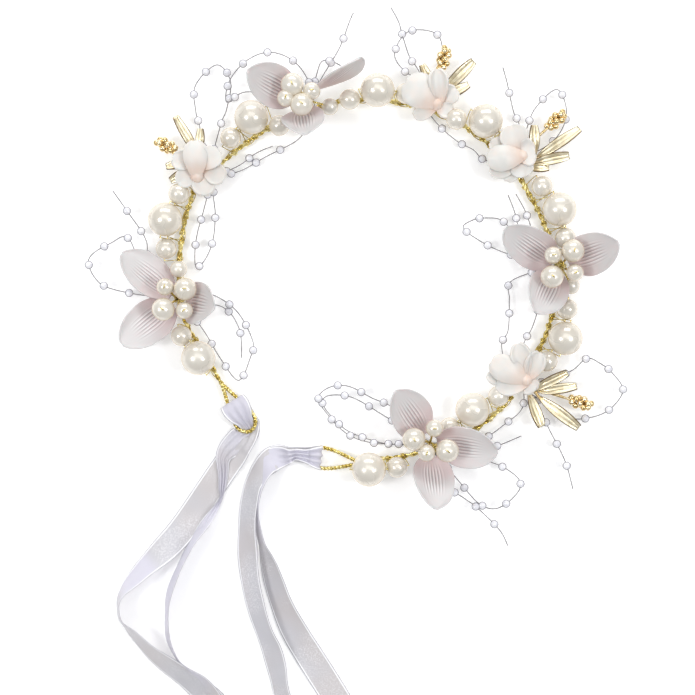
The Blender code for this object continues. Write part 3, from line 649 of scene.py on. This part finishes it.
# Petals as (root, tip, width, root's height, tip's height, arch, cup), all in mm: places along +X
# and +Y from the hub. The last petal of each flower folds over its heart.
RESIN_PETALS = (
    (((-1.8, 1.4), (-10.2, 2.8), 7.4, 1.4, 3.2, 0.8, 0.9),
     ((-1.5, -0.6), (-8.4, -6.0), 7.2, 1.0, 2.6, 0.8, 0.8),
     ((0.8, -0.8), (1.0, -10.2), 8.4, 1.2, 2.6, 0.9, 0.8),
     ((0.8, 0.2), (8.2, -4.6), 7.8, 1.6, 3.2, 0.8, 0.9),
     ((-0.4, -0.4), (6.6, 5.6), 8.4, 3.0, 5.6, 1.4, 0.5),
     ((-1.4, -3.4), (-1.9, 8.9), 8.6, 4.6, 5.8, 2.3, -1.7)),
    (((2.8, -2.6), (8.6, 2.0), 7.2, 1.6, 4.0, 0.8, 0.9),
     ((1.8, -4.0), (7.2, -6.4), 6.0, 1.6, 2.6, 0.8, 0.8),
     ((1.4, -4.4), (-6.6, -7.4), 5.6, 1.4, 2.2, 0.8, 0.6),
     ((2.8, -3.0), (1.6, 8.6), 6.8, 3.4, 6.8, 0.9, 1.9),
     ((1.6, -3.0), (-9.4, 4.4), 12.6, 4.2, 5.2, 2.5, -1.9)),
    (((0.4, -2.4), (-2.1, -9.3), 6.4, 1.0, 2.2, 0.7, 0.6),
     ((2.0, -1.0), (-8.0, -6.8), 7.6, 1.4, 3.2, 0.9, 0.6),
     ((1.8, -0.6), (3.8, -7.8), 8.4, 1.6, 3.2, 0.9, 0.9),
     ((1.2, 0.2), (7.6, 1.2), 10.0, 2.0, 4.4, 0.8, 1.4),
     ((1.8, 0.4), (-1.2, 10.4), 10.2, 2.4, 5.0, 0.9, 1.4),
     ((-0.4, 1.1), (-8.4, 4.4), 6.4, 1.8, 4.0, 0.6, 0.6),
     ((3.2, -0.4), (-9.4, -2.0), 9.2, 4.6, 5.4, 2.3, -1.7)),
    (((0.0, -3.6), (-9.0, -1.4), 5.6, 1.4, 3.4, 0.8, 0.5),
     ((4.8, -3.6), (8.0, -7.0), 6.8, 1.4, 2.6, 0.6, 0.8),
     ((6.0, -3.8), (-6.0, -5.6), 7.6, 2.4, 3.6, 1.2, 0.9),
     ((5.4, -3.2), (9.4, 6.8), 7.0, 2.4, 6.0, 0.7, 1.9),
     ((4.8, -2.0), (1.4, 9.8), 7.4, 3.0, 6.2, 0.9, 1.5),
     ((4.6, -3.0), (-7.6, 3.6), 9.6, 4.2, 5.4, 2.2, -1.5)),
)

resin = Finish("milky_resin", (0.93, 0.88, 0.86), 0.3, Subsurface_Weight=0.25,
               Subsurface_Radius=(0.003, 0.0022, 0.0018), Subsurface_Scale=0.5,
               Coat_Weight=0.15, Coat_Roughness=0.3)
across, along = resin.sheet_place()
blush = (1 - along.ramp(0.0, 0.62)) * 0.85
drift = resin.noise(260, 2).ramp(0.35, 0.7)
warm = resin.mix(drift, (0.84, 0.64, 0.53), (0.84, 0.70, 0.62))
cool = resin.mix(drift, (0.735, 0.725, 0.695), (0.77, 0.73, 0.685))
resin.put("Base Color", resin.mix(blush, cool, warm))
resin.put("Roughness", 0.40 + 0.16 * drift)
resin.bump(resin.noise(700, 2), 0.06, 0.0003)


def resin_petal(bm, hub, root, tip, width, low, high, arch, cup):
    """A spoon-shaped petal, thick and round at its rim. A cup below nought folds its sides down."""
    made = sheet_grid(24, 18)
    start, end = Vector((*root, low)), Vector((*tip, high))
    ahead = end - start
    side = UP.cross(ahead).normalized()
    for vert in made.verts:
        share, over = 0.99 * (vert.co.x + 1) / 2, vert.co.y
        if share < 0.6:
            breadth = 0.34 + 0.66 * sin(pi / 2 * share / 0.6)
        else:
            breadth = max(1 - ((share - 0.6) / 0.4) ** 2, 0) ** 0.5
        lift = arch * sin(pi * share) + cup * over ** 2 * breadth
        lift += 0.12 * sin(5 * over + tip[0]) * share
        spot = start + ahead * share + side * (over * width / 2 * breadth) + UP * lift
        vert.co = hub + spot * MM
    merge(bm, made)


for count, ((angle, out), petals) in enumerate(zip(FLOWERS, RESIN_PETALS), 1):
    hub = beside_band(angle, out, 0, FLOWER_HEIGHT)
    bm = bmesh.new()
    for petal in petals:
        resin_petal(bm, hub, *petal)
    flower = object_from(f"resin_flower_{count}_petals", bm, resin)
    wall(flower, RESIN_WALL)
    rim = flower.modifiers.new("rim", "SUBSURF")
    rim.levels = rim.render_levels = 1
    fit(flower, "crown", "ivory_resin", f"resin_flower_{count}")
    bm = bmesh.new()
    bmesh.ops.create_uvsphere(bm, u_segments=20, v_segments=12, radius=BUD_RADIUS)
    bmesh.ops.scale(bm, verts=bm.verts, vec=(1, 1, 1.3))
    root = petals[-1][0]
    bmesh.ops.translate(bm, verts=bm.verts, vec=hub + Vector((*root, 2.6)) * MM)
    fit(object_from(f"resin_flower_{count}_bud", bm, resin), "crown", "ivory_resin")

# ---------------------------------------------------------------------------------------------
# The gold sprigs
# Thin castings in a pale champagne gold: channelled leaves with squared tips and a head of small
# berries, on one stem that is lashed under the flower.

# Each sprig: its leaves as (root, tip, width), and where its head of berries sits. All are mm out
# from the band and along it.
SPRIGS = (
    ((((5.0, -2.5), (20.0, -10.0), 3.4), ((5.8, -3.4), (10.4, -11.2), 3.2),
      ((5.6, -1.1), (13.2, 6.6), 3.4), ((5.0, 1.4), (9.2, 10.0), 3.4)), (15.4, 0.2)),
    ((((6.5, -3.0), (20.8, -9.9), 4.2), ((5.4, -4.4), (12.6, -11.0), 3.6),
      ((7.1, 0.2), (13.6, 6.8), 3.4)), (16.6, 0.2)),
    ((((8.5, -4.8), (15.1, 3.4), 3.8), ((8.5, -6.0), (26.4, -7.7), 3.8),
      ((6.0, -6.4), (17.7, -12.6), 4.0), ((4.0, -6.6), (9.6, -11.4), 3.2)), (20.4, -0.2)),
    ((((4.6, -1.6), (11.4, 10.4), 3.6), ((6.6, -0.8), (16.6, 8.2), 3.6),
      ((8.4, -2.3), (25.2, -3.8), 4.2), ((4.6, -3.4), (14.2, -10.6), 4.0)), (19.4, 3.6)),
)
SPRIG_THICKNESS = 0.0008
SPRIG_RISE = 0.10
LEAF_WALL = 0.00055
STEM_RADIUS = 0.00052
BERRIES, BERRY_RADIUS = 14, 0.00115
HEAD_LENGTH, HEAD_RADIUS = 0.0078, 0.0017

champagne = Finish("cast_champagne_gold", (0.90, 0.74, 0.46), 0.26, Metallic=1.0)
across, along = champagne.sheet_place()
# Painted shade: dark lines down each leaf's channels and a darker line along its rims, where the
# recesses would be shaded.
painted_groove_shade = (across * 3 * 2 * pi + 0.5 * pi).wave() * 0.5 + 0.5
painted_rim_shade = (across - 0.5).size().ramp(0.40, 0.46)
worn = champagne.noise(500, 3).ramp(0.35, 0.65)
lit = champagne.mix(worn, (0.92, 0.80, 0.54), (0.97, 0.90, 0.69))
shaded = champagne.mix(painted_groove_shade ** 7 * 0.65, lit, (0.34, 0.24, 0.09))
champagne.put("Base Color", champagne.mix(painted_rim_shade * 0.92, shaded, (0.16, 0.10, 0.04)))
champagne.put("Roughness", 0.32 + 0.14 * worn)
champagne.bump(champagne.noise(1500, 2), 0.1, 0.0002)
berry_gold = Finish("cast_berry_gold", (0.90, 0.74, 0.44), 0.24, Metallic=1.0)
berry_gold.put("Base Color", berry_gold.mix(berry_gold.noise(700, 2).ramp(0.4, 0.6),
                                            (0.74, 0.55, 0.26), (0.95, 0.81, 0.54)))


def leaf(bm, root, tip, width, lean):
    """A channelled leaf with a raised middle rib and a squared tip."""
    made = sheet_grid(22, 18)
    ahead = tip - root
    side = UP.cross(ahead).normalized()
    for vert in made.verts:
        share, over = (vert.co.x + 1) / 2, vert.co.y
        breadth = 0.16 + 0.84 * max(sin(pi * (0.04 + 0.82 * share)), 0) ** 0.75
        channel = (0.50 * abs(over) ** 2 + 0.10 * cos(3 * pi * over)) * breadth
        arch = 1.0 * sin(pi * share) + lean * over * share
        vert.co = (root + ahead * share + side * (over * width / 2 * breadth)
                   + UP * ((channel + arch) * MM))
    merge(bm, made)


def on_sprig(angle, spot, rise=0.0):
    """A place on the sprig at an angle: it climbs a little as it leaves the band."""
    height = BAND_HEIGHT + SEAT + SPRIG_THICKNESS / 2 + SPRIG_RISE * max(spot[0] - 4, 0) * MM
    return beside_band(angle, spot[0], spot[1], height + rise)


for count, ((angle, _), (leaves, berry)) in enumerate(zip(FLOWERS, SPRIGS), 1):
    foot = on_sprig(angle, (3.4, -1.0))
    bm = bmesh.new()
    stems = []
    for number, (root, tip, width) in enumerate(leaves):
        start, end = on_sprig(angle, root), on_sprig(angle, tip)
        leaf(bm, start, on_sprig(angle, tip, 0.0012), width * MM, 0.5 * (-1) ** number)
        stems.append(smooth_route([foot, start, start.lerp(end, 0.2) + UP * 0.0006], 4))
    blades = object_from(f"gold_sprig_{count}_leaves", bm, champagne)
    wall(blades, LEAF_WALL)
    fit(blades, "crown", "cast_gold", f"gold_sprig_{count}")
    head = on_sprig(angle, berry, 0.0004)
    along_head = (head - foot).normalized()
    side = UP.cross(along_head)
    stems.append(smooth_route([foot, foot.lerp(head, 0.5) + UP * 0.0005, head], 5))
    bm = bmesh.new()
    for k in range(BERRIES):
        turn, share = k * 2.4, (k + 0.5) / BERRIES
        swell = sin(pi * (0.12 + 0.76 * share)) * HEAD_RADIUS
        spot = head + along_head * (HEAD_LENGTH * (share - 0.28))
        spot += side * cos(turn) * swell + UP * sin(turn) * swell * 0.7
        ball = bmesh.new()
        bmesh.ops.create_uvsphere(ball, u_segments=14, v_segments=9, radius=BERRY_RADIUS)
        bmesh.ops.translate(ball, verts=ball.verts, vec=spot)
        merge(bm, ball)
    fit(object_from(f"gold_sprig_{count}_berries", bm, berry_gold), "crown", "cast_gold")
    fit(wires(f"gold_sprig_{count}_stems", stems, STEM_RADIUS, berry_gold), "crown", "cast_gold")

# ---------------------------------------------------------------------------------------------
# The beaded lines
# Clear springy line with small white beads held every nine millimetres, in loops and sprays that
# start from under the band.

# Each group: its hubs' angles, and its lines as (hub it starts at, hub it ends at, mm it rises,
# places as (angle, mm beyond the ring's radius)). A line that ends at None is a loose spray.
BEAD_LINES = {
    "left": ((187,), (
        (0, None, 5, ((177, 11), (170.5, 13.5), (164.5, 22.5), (161.5, 28.5))),
        (0, 0, 3, ((179, 12.5), (171, 19.5), (172.5, 25), (176.5, 32.5), (181.5, 28.5),
                   (184, 18.5), (185.5, 8))),
        (0, 0, 3, ((186, -9), (194.5, -18), (209.5, -19.5), (215, -15.5), (219, -7.5),
                   (209.5, -6.5), (198.5, -5))),
        (0, None, 2, ((191.5, -13), (202, -17), (213, -13))))),
    "upper_left": ((148,), (
        (0, 0, 3, ((151.5, -4), (158, -8), (167, -10), (174, -8.5), (177, -5.5), (172, -4.5),
                   (165.5, -4), (158, -3.5))),
        (0, 0, 1, ((141, 9.5), (138, 14), (136, 18.5), (132, 25), (125.5, 26), (125, 18.5),
                   (130, 11.5), (134, 8.8))),
        (0, None, 2, ((141, -7), (130, -10.5), (119, -12), (114.5, -11))),
        (0, None, 1, ((140, -5.5), (132, -7.2), (126, -9))))),
    "top": ((111,), (
        (0, 0, 7, ((106.8, 6), (109, 14), (113.5, 19.5), (119, 20.5), (125, 18), (129, 12.5),
                   (122.5, 11.2))),
        (0, None, 2, ((104, 8), (101.5, 12), (97.5, 9.5), (94.5, 4.5))),
        (0, None, 1, ((103.5, 5.5), (97, 15.5), (94, 24.5), (93, 27.5))))),
    "upper_right": ((71, 40), (
        (0, None, 4, ((75.5, 8.5), (79, 13), (81.5, 19.5), (83, 24.5), (85, 29))),
        (0, 0, 3, ((74.5, 5.5), (79.5, 7.5), (83, 13), (80.5, 21.5), (74, 23), (71, 15))),
        (1, None, 5, ((44, 9), (48.5, 12), (54, 18), (57, 21.5))),
        (1, 1, 3, ((42.5, 10), (45, 18), (44.5, 28), (39, 24.5), (36, 14.5))),
        (0, 1, 1, ((64, -7), (56, -8.5), (50, -7.5), (45, -7.5))))),
    "right": ((3, -35, -69), (
        (0, None, 1, ((8, -4), (14, -5.2), (22, -5.4), (29, -5.8))),
        (0, None, 1, ((10, -7), (17, -9.5), (23.5, -9), (30, -8.4))),
        (0, 0, 3, ((14, -10.5), (22.5, -14.5), (26.5, -20), (28, -24), (27, -28), (19.5, -25.5),
                   (10, -17))),
        (0, 1, 1, ((-1.5, -14.5), (-9, -15), (-14.5, -14), (-21.5, -12.5), (-28, -12))),
        (0, 1, 1, ((-3, -5), (-10, -4.5), (-17, -4.8), (-24, -5.5))),
        (1, 1, 2, ((-29, 9), (-24.5, 14), (-20.5, 17), (-20.5, 22), (-21.5, 27), (-24, 33),
                   (-28.5, 32), (-32, 28), (-35, 21.5), (-35.5, 12))),
        (1, None, 3, ((-37.5, 11), (-40, 18), (-43, 29.5), (-46, 38.5))),
        (1, 2, 0.5, ((-40, 6), (-47, 5.6), (-56, 5), (-64, 5))),
        (2, None, 2, ((-62, 8.5), (-56, 8.6), (-50.5, 10.5), (-46, 12.5))),
        (2, 2, 3, ((-57, 12), (-53.5, 21), (-54, 26), (-58, 28), (-61.5, 27.5), (-64, 23),
                   (-66, 13))),
        (2, None, 5, ((-69.5, 7), (-69, 14), (-66.5, 19.5), (-64.5, 25), (-62.5, 35), (-62.5, 41))),
        (2, 2, 3, ((-80, -14), (-94, -22), (-102, -23), (-109, -21), (-108.5, -17.5),
                   (-98.5, -11.5), (-88.5, -8), (-80, -5.5))),
        (2, 2, 4, ((-78, -18), (-88, -23), (-99, -26.5), (-108, -25), (-112, -20),
                   (-106.5, -15.5), (-96.5, -9.5), (-85, -6.5))))),
}
BEAD = 0.0030
BEAD_PITCH = 0.0092
LINE = 0.00036
HUB_STEP = 1.1
LINE_HUB_HEIGHT = 0.00033
BEAD_GAP = 0.00015
LINE_GAP = 0.0002

bead_glass = Finish("bead_milky_glass", (0.90, 0.90, 0.93), 0.12, Coat_Weight=0.5,
                    Coat_Roughness=0.04)
# Painted shade and reflection: each bead's colour darkens to near black towards its rim, where it is
# seen edge on.
rim = bead_glass.edge_on(0.5).ramp(0.28, 0.62)
veil = bead_glass.noise(900, 2).ramp(0.35, 0.7)
core = bead_glass.mix(veil, (0.80, 0.80, 0.86), (0.93, 0.93, 0.96))
bead_glass.put("Base Color", bead_glass.mix(rim, core, (0.10, 0.095, 0.125)))
clear_line = Finish("clear_line", (0.22, 0.21, 0.22), 0.3, Coat_Weight=0.4, Coat_Roughness=0.2)
clear_line.put("Base Color", clear_line.mix(clear_line.noise(900, 1).ramp(0.4, 0.6),
                                            (0.16, 0.15, 0.16), (0.28, 0.27, 0.28)))


def on_table(angle, out, height):
    """A place by its angle and its distance in mm beyond the ring's radius."""
    return outward(angle) * (RING_RADIUS + out * MM) + UP * height


def hub_places(angle):
    """Places side by side under the band, one for each line's end that is held at this hub."""
    slot = -3.5
    while True:
        place = band_point(angle + slot * HUB_STEP)
        yield Vector((place.x, place.y, LINE_HUB_HEIGHT))
        slot += 1


for name, (hubs, strands) in BEAD_LINES.items():
    places = [hub_places(angle) for angle in hubs]
    lines, beads = [], bmesh.new()
    for start, end, rise, spots in strands:
        route = [next(places[start])]
        steps = len(spots) + (1 if end is not None else 0)
        for k, (angle, out) in enumerate(spots, 1):
            share = k / steps
            swell = sin(pi * share) if end is not None else share ** 1.5
            route.append(on_table(angle, out, BEAD / 2 + LINE_GAP + rise * MM * swell))
        if end is not None:
            route.append(next(places[end]))
        curve = smooth_route(route, 10)
        lines.append(curve)
        for spot in spaced(curve, BEAD_PITCH)[1:-1]:
            bead = bmesh.new()
            bmesh.ops.create_uvsphere(bead, u_segments=16, v_segments=10, radius=BEAD / 2)
            spot.z = max(spot.z, BEAD / 2 + BEAD_GAP)
            bmesh.ops.translate(bead, verts=bead.verts, vec=spot)
            merge(beads, bead)
    fit(object_from(f"bead_line_{name}_beads", beads, bead_glass), "crown", "beaded_line",
        f"bead_line_{name}")
    fit(wires(f"bead_line_{name}_line", lines, LINE / 2, clear_line, 1), "crown", "beaded_line")

# ---------------------------------------------------------------------------------------------
# The ribbons
# One soft organza ribbon with woven selvages passes through each eye. It is bunched where it
# turns over the wire, and its two tails lie on the table, partly on edge.

RIBBON_WIDTH = 0.010
TAIL_STEP = 0.008
STEEPEST_ROLL = 75
ORGANZA = 0.00012
CLOTH_HEIGHT = 0.00035
FINE_STEPS, ACROSS_STEPS = 5, 20
# Where each ribbon bends as it swings, from and to: metres past the eye's end.
LEFT_BEND, RIGHT_BEND = (-0.003, 0.009), (0.001, 0.010)
# The stretches where a ribbon lies doubled, as (middle, reach) in shares of its length.
LEFT_PALE = ((0.30, 0.03), (0.595, 0.06), (0.76, 0.08))
RIGHT_PALE = ((0.47, 0.07), (0.36, 0.06))
# The direction in which the right ribbon leaves its eye.
RIGHT_LEAVES = Vector((-0.8, -0.6, 0))
# Each ribbon's two tails: places in mm along +X and +Y from the eye's end, and the degrees that
# the cloth is turned onto its edge there.
RIBBON_TAILS = {
    "left": (((-2.6, -4.5, 30), (-9, -12.5, 8), (-16.3, -23.3, 0), (-26, -37, 8),
              (-36.6, -47.5, 44), (-41.6, -52.6, 60), (-44.7, -55.8, 70), (-46.7, -60, 78),
              (-46.8, -64.2, 82), (-45.3, -67.4, 78), (-41.8, -71.5, 64), (-35.9, -77.6, 52),
              (-28.5, -83.5, 42), (-19, -90.7, 28), (-11.5, -99, 10), (-7, -109, 0),
              (-6, -121, 0), (-11, -133, 0), (-18, -144, 0), (-19, -154, 0), (-15, -164, 0)),
             ((-3.0, -5.0, 20), (-8.2, -14, 50), (-9.6, -22, 76), (-13, -28, 82),
              (-19.6, -37.6, 82), (-23.2, -44.1, 79), (-26.1, -50, 77), (-28.5, -56.5, 79),
              (-29.6, -64, 80), (-29.4, -72, 82), (-27.9, -76.6, 81), (-25.3, -81.3, 76),
              (-21.4, -85.1, 66), (-16.1, -90, 52), (-13, -98, 28), (-15, -108, 8),
              (-22, -118, 0), (-27, -128, 0), (-27, -139, 0), (-31, -150, 0))),
    "right": (((-9, 1.0, 0), (-13.5, 0.4, 15), (-17.6, -2.6, 34), (-20.8, -6.8, 46),
               (-23.1, -12.6, 52), (-24.3, -23.6, 48), (-24.1, -35.4, 43), (-22.6, -47.2, 44),
               (-19.3, -59, 48), (-14.8, -70.8, 40), (-12.4, -82.6, 50), (-10.6, -92, 34),
               (-9.8, -102, 16), (-12, -113, 0), (-18, -125, 0), (-19.5, -138, 0), (-15, -151, 0)),
              ((-9, 0.5, 0), (-16.5, -1.5, 30), (-20, -9, 66), (-21, -20, 82), (-19.5, -29, 76),
               (-16.6, -38, 50), (-13.0, -50, 36), (-7.6, -62, 16), (-1.0, -73, 0), (6.5, -85, 0),
               (14, -98, 0), (18, -111, 0), (15, -124, 0), (10, -136, 0), (12, -149, 0))),
}


def eye_end(side):
    """The middle of an eye's end wire."""
    return eye_matrix(side) @ Vector((LEFT_EYE if side == "left" else RIGHT_EYE, 0, 0))


def organza(name, pale):
    """Organza with woven selvages, pale where it lies doubled, with painted glints on its threads
    and a painted shade line along its very edges.
    """
    cloth = Finish(name, (0.80, 0.79, 0.83), 0.5, Sheen_Weight=0.5, Sheen_Roughness=0.4,
                   Sheen_Tint=(0.95, 0.93, 1.0, 1))
    across, along = cloth.sheet_place()
    selvage = (across - 0.5).size().ramp(0.42, 0.435)
    # Painted shade: a dark line along the cloth's very edges.
    painted_edge_shade = (across - 0.5).size().ramp(0.466, 0.478)
    threads = cloth.noise(2100, 2).ramp(0.42, 0.68)
    # Painted glints: pale specks in patches, where threads would catch the light.
    painted_sparkle = threads * cloth.noise(70, 1).ramp(0.38, 0.62)
    tint = cloth.noise(45, 1).ramp(0.35, 0.65)
    tone = cloth.mix(tint, (0.645, 0.64, 0.675), (0.665, 0.63, 0.635))
    tone = cloth.mix(painted_sparkle * 0.75, tone, (0.88, 0.87, 0.89))
    for middle, reach in pale:
        doubled = 1 - (along - middle).size().ramp(reach * 0.6, reach * 1.4)
        tone = cloth.mix(doubled * 0.85, tone, (0.76, 0.745, 0.85))
    tone = cloth.mix(selvage, tone, (0.96, 0.96, 0.98))
    cloth.put("Base Color", cloth.mix(painted_edge_shade * 0.85, tone, (0.42, 0.41, 0.45)))
    cloth.put("Alpha", 0.80 + 0.19 * selvage)
    cloth.put("Roughness", 0.42 + 0.2 * threads)
    cloth.bump(threads + 2.0 * selvage, 0.12, 0.0001)
    return cloth


def tail_stations(side, points, gather):
    """Sections of a tail from the knot outwards: middle, direction across, half width, pleats."""
    end = eye_end(side)
    half = RIBBON_WIDTH / 2
    spots = [Vector((end.x + x * MM, end.y + y * MM, roll * MM)) for x, y, roll in points]
    route = spaced(smooth_route(spots, 6), TAIL_STEP)
    stations, gone = [], 0.0
    for i, spot in enumerate(route):
        step = route[min(i + 1, len(route) - 1)] - route[max(i - 1, 0)]
        ahead = Vector((step.x, step.y, 0)).normalized()
        roll = radians(min(max(spot.z / MM, 0), STEEPEST_ROLL))
        across = UP.cross(ahead) * cos(roll) + UP * sin(roll)
        near = max(1 - gone / gather["length"], 0)
        width = half * (1 - gather["narrow"] * near ** 1.5)
        height = CLOTH_HEIGHT + width * sin(roll) + gather["lift"] * near ** 2
        stations.append((Vector((spot.x, spot.y, height)), across, width,
                         gather["pleats"] * near ** 1.2))
        gone += TAIL_STEP
    return stations


def ribbon(name, stations, start, end, finish):
    """The whole ribbon through its sections, as one cloth. The start and end are not used."""
    fine = []
    for i in range(len(stations) - 1):
        four = [stations[j] for j in (max(i - 1, 0), i, i + 1, min(i + 2, len(stations) - 1))]
        fine += [[between(*(s[part] for s in four), k / FINE_STEPS) for part in range(4)]
                 for k in range(FINE_STEPS)]
    fine.append(list(stations[-1]))
    along = [0.0]
    for one, two in zip(fine, fine[1:]):
        along.append(along[-1] + (two[0] - one[0]).length)
    bm = sheet_grid(len(fine), ACROSS_STEPS + 1)
    count = len(fine) - 1
    for vert in bm.verts:
        k, over = round((vert.co.x + 1) / 2 * count), vert.co.y
        spot, across, width, pleats = fine[k]
        ahead = fine[min(k + 1, count)][0] - fine[max(k - 1, 0)][0]
        normal = ahead.cross(across).normalized()
        wave = sin(3.5 * pi * over + 0.8) * (1 - 0.3 * abs(over))
        ripple = 0.00016 * sin(along[k] * 330 + 2.2 * over) * over ** 2
        vert.co = spot + across.normalized() * over * width + normal * (wave * pleats + ripple)
    cloth = object_from(name, bm, finish)
    wall(cloth, ORGANZA)
    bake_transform(cloth)
    return cloth


# The second tail starts this far from the left eye, where the skirt that the knot makes ends.
LEFT_SKIRT = 0.035

# How a tail is gathered near its eye: over what length, by what share of its width, how far it
# lifts, and how deep its pleats are.
left_gather = {"length": 0.020, "narrow": 0.12, "lift": 0.0002, "pleats": 0.00030}
tail_a = tail_stations("left", RIBBON_TAILS["left"][0], left_gather)
tail_b = tail_stations("left", RIBBON_TAILS["left"][1], left_gather)
left_frame = eye_matrix("left")


def in_eye(along, height, half, pleats, frame_of=left_frame):
    """A section of ribbon inside an eye, square to the eye's length."""
    side = frame_of.to_3x3() @ Vector((0, 1, 0))
    spot = frame_of @ Vector((along, 0, 0))
    return Vector((spot.x, spot.y, height)), side, half, pleats


def from_end(right, up, height, turn, half, pleats):
    """A section beyond the left eye's end: its place in mm, and the turn of its width."""
    spot = eye_end("left") + Vector((right, up, 0)) * MM
    return Vector((spot.x, spot.y, height)), outward(turn), half, pleats


# The cloth comes up under the eye's sides, folds over at its neck end, covers both sides on its
# way down, dives under the end wire and flares into a skirt, which then folds to a narrow strip.
left_knot = [in_eye(0.0188, 0.0006, 0.0040, 0.00030), in_eye(0.0160, 0.0007, 0.0042, 0.00030),
             in_eye(0.0125, 0.0008, 0.0044, 0.00025), in_eye(0.0095, 0.0011, 0.0045, 0.00020),
             in_eye(0.0074, 0.0020, 0.0046, 0.00016), in_eye(0.0070, 0.0034, 0.0047, 0.00012),
             in_eye(0.0078, 0.0046, 0.0050, 0.00016), in_eye(0.0100, 0.0049, 0.0051, 0.00030),
             in_eye(0.0130, 0.0044, 0.0044, 0.00042), in_eye(0.0155, 0.0032, 0.0031, 0.00050),
             in_eye(0.0178, 0.0018, 0.0027, 0.00050), in_eye(0.0196, 0.0011, 0.0032, 0.00046),
             from_end(-2.6, -1.9, 0.0016, -36, 0.0046, 0.00036),
             from_end(-5.6, -4.6, 0.0020, -38, 0.0045, 0.00030),
             from_end(-8.6, -7.6, 0.0022, -30, 0.0036, 0.00036),
             from_end(-10.0, -10.6, 0.0020, -8, 0.0025, 0.00050),
             from_end(-9.9, -15.0, 0.0016, 0, 0.0019, 0.00060),
             from_end(-10.2, -20.0, 0.0016, 4, 0.0014, 0.00060),
             from_end(-11.4, -25.5, 0.0018, 10, 0.0009, 0.00050)]
tail_b = [station for station in tail_b if station[0].y < eye_end("left").y - LEFT_SKIRT]
left_ribbon = ribbon("ribbon_left_cloth",
                     [*reversed(tail_a), *left_knot, *tail_b],
                     left_frame @ Vector((LEFT_EYE + LEFT_BEND[0], 0, 0)),
                     left_frame @ Vector((LEFT_EYE + LEFT_BEND[1], 0, 0)),
                     organza("organza_left", LEFT_PALE))
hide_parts("ribbon_left_knot", "ribbon_left_tails")

right_gather = {"length": 0.030, "narrow": 0.5, "lift": 0.0014, "pleats": 0.00045}
flat_gather = {**right_gather, "lift": 0.0002, "pleats": 0.0001}
tail_a = tail_stations("right", RIBBON_TAILS["right"][0], flat_gather)
tail_b = tail_stations("right", RIBBON_TAILS["right"][1], {**right_gather, "lift": 0.0056})
right_frame = eye_matrix("right")


def at_wire(along, height, half, pleats):
    """A section of ribbon near the eye's end wire, square to the eye's length."""
    return in_eye(RIGHT_EYE + along, height, half, pleats, right_frame)


right_knot = [at_wire(0.0070, 0.0036, 0.0020, 0.00070), at_wire(0.0036, 0.0042, 0.0024, 0.00080),
              at_wire(0.0006, 0.0046, 0.0036, 0.00070), at_wire(-0.0014, 0.0040, 0.0043, 0.00050),
              at_wire(-0.0020, 0.0024, 0.0044, 0.00034), at_wire(-0.0012, 0.0012, 0.0042, 0.00030),
              at_wire(0.0010, 0.0008, 0.0036, 0.00030), at_wire(0.0040, 0.0008, 0.0028, 0.00040)]
right_ribbon = ribbon("ribbon_right_cloth",
                      [*reversed(tail_b), *right_knot, *tail_a],
                      eye_end("right") + RIGHT_LEAVES * RIGHT_BEND[0],
                      eye_end("right") + RIGHT_LEAVES * RIGHT_BEND[1],
                      organza("organza_right", RIGHT_PALE))
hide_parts("ribbon_right_knot", "ribbon_right_tails")
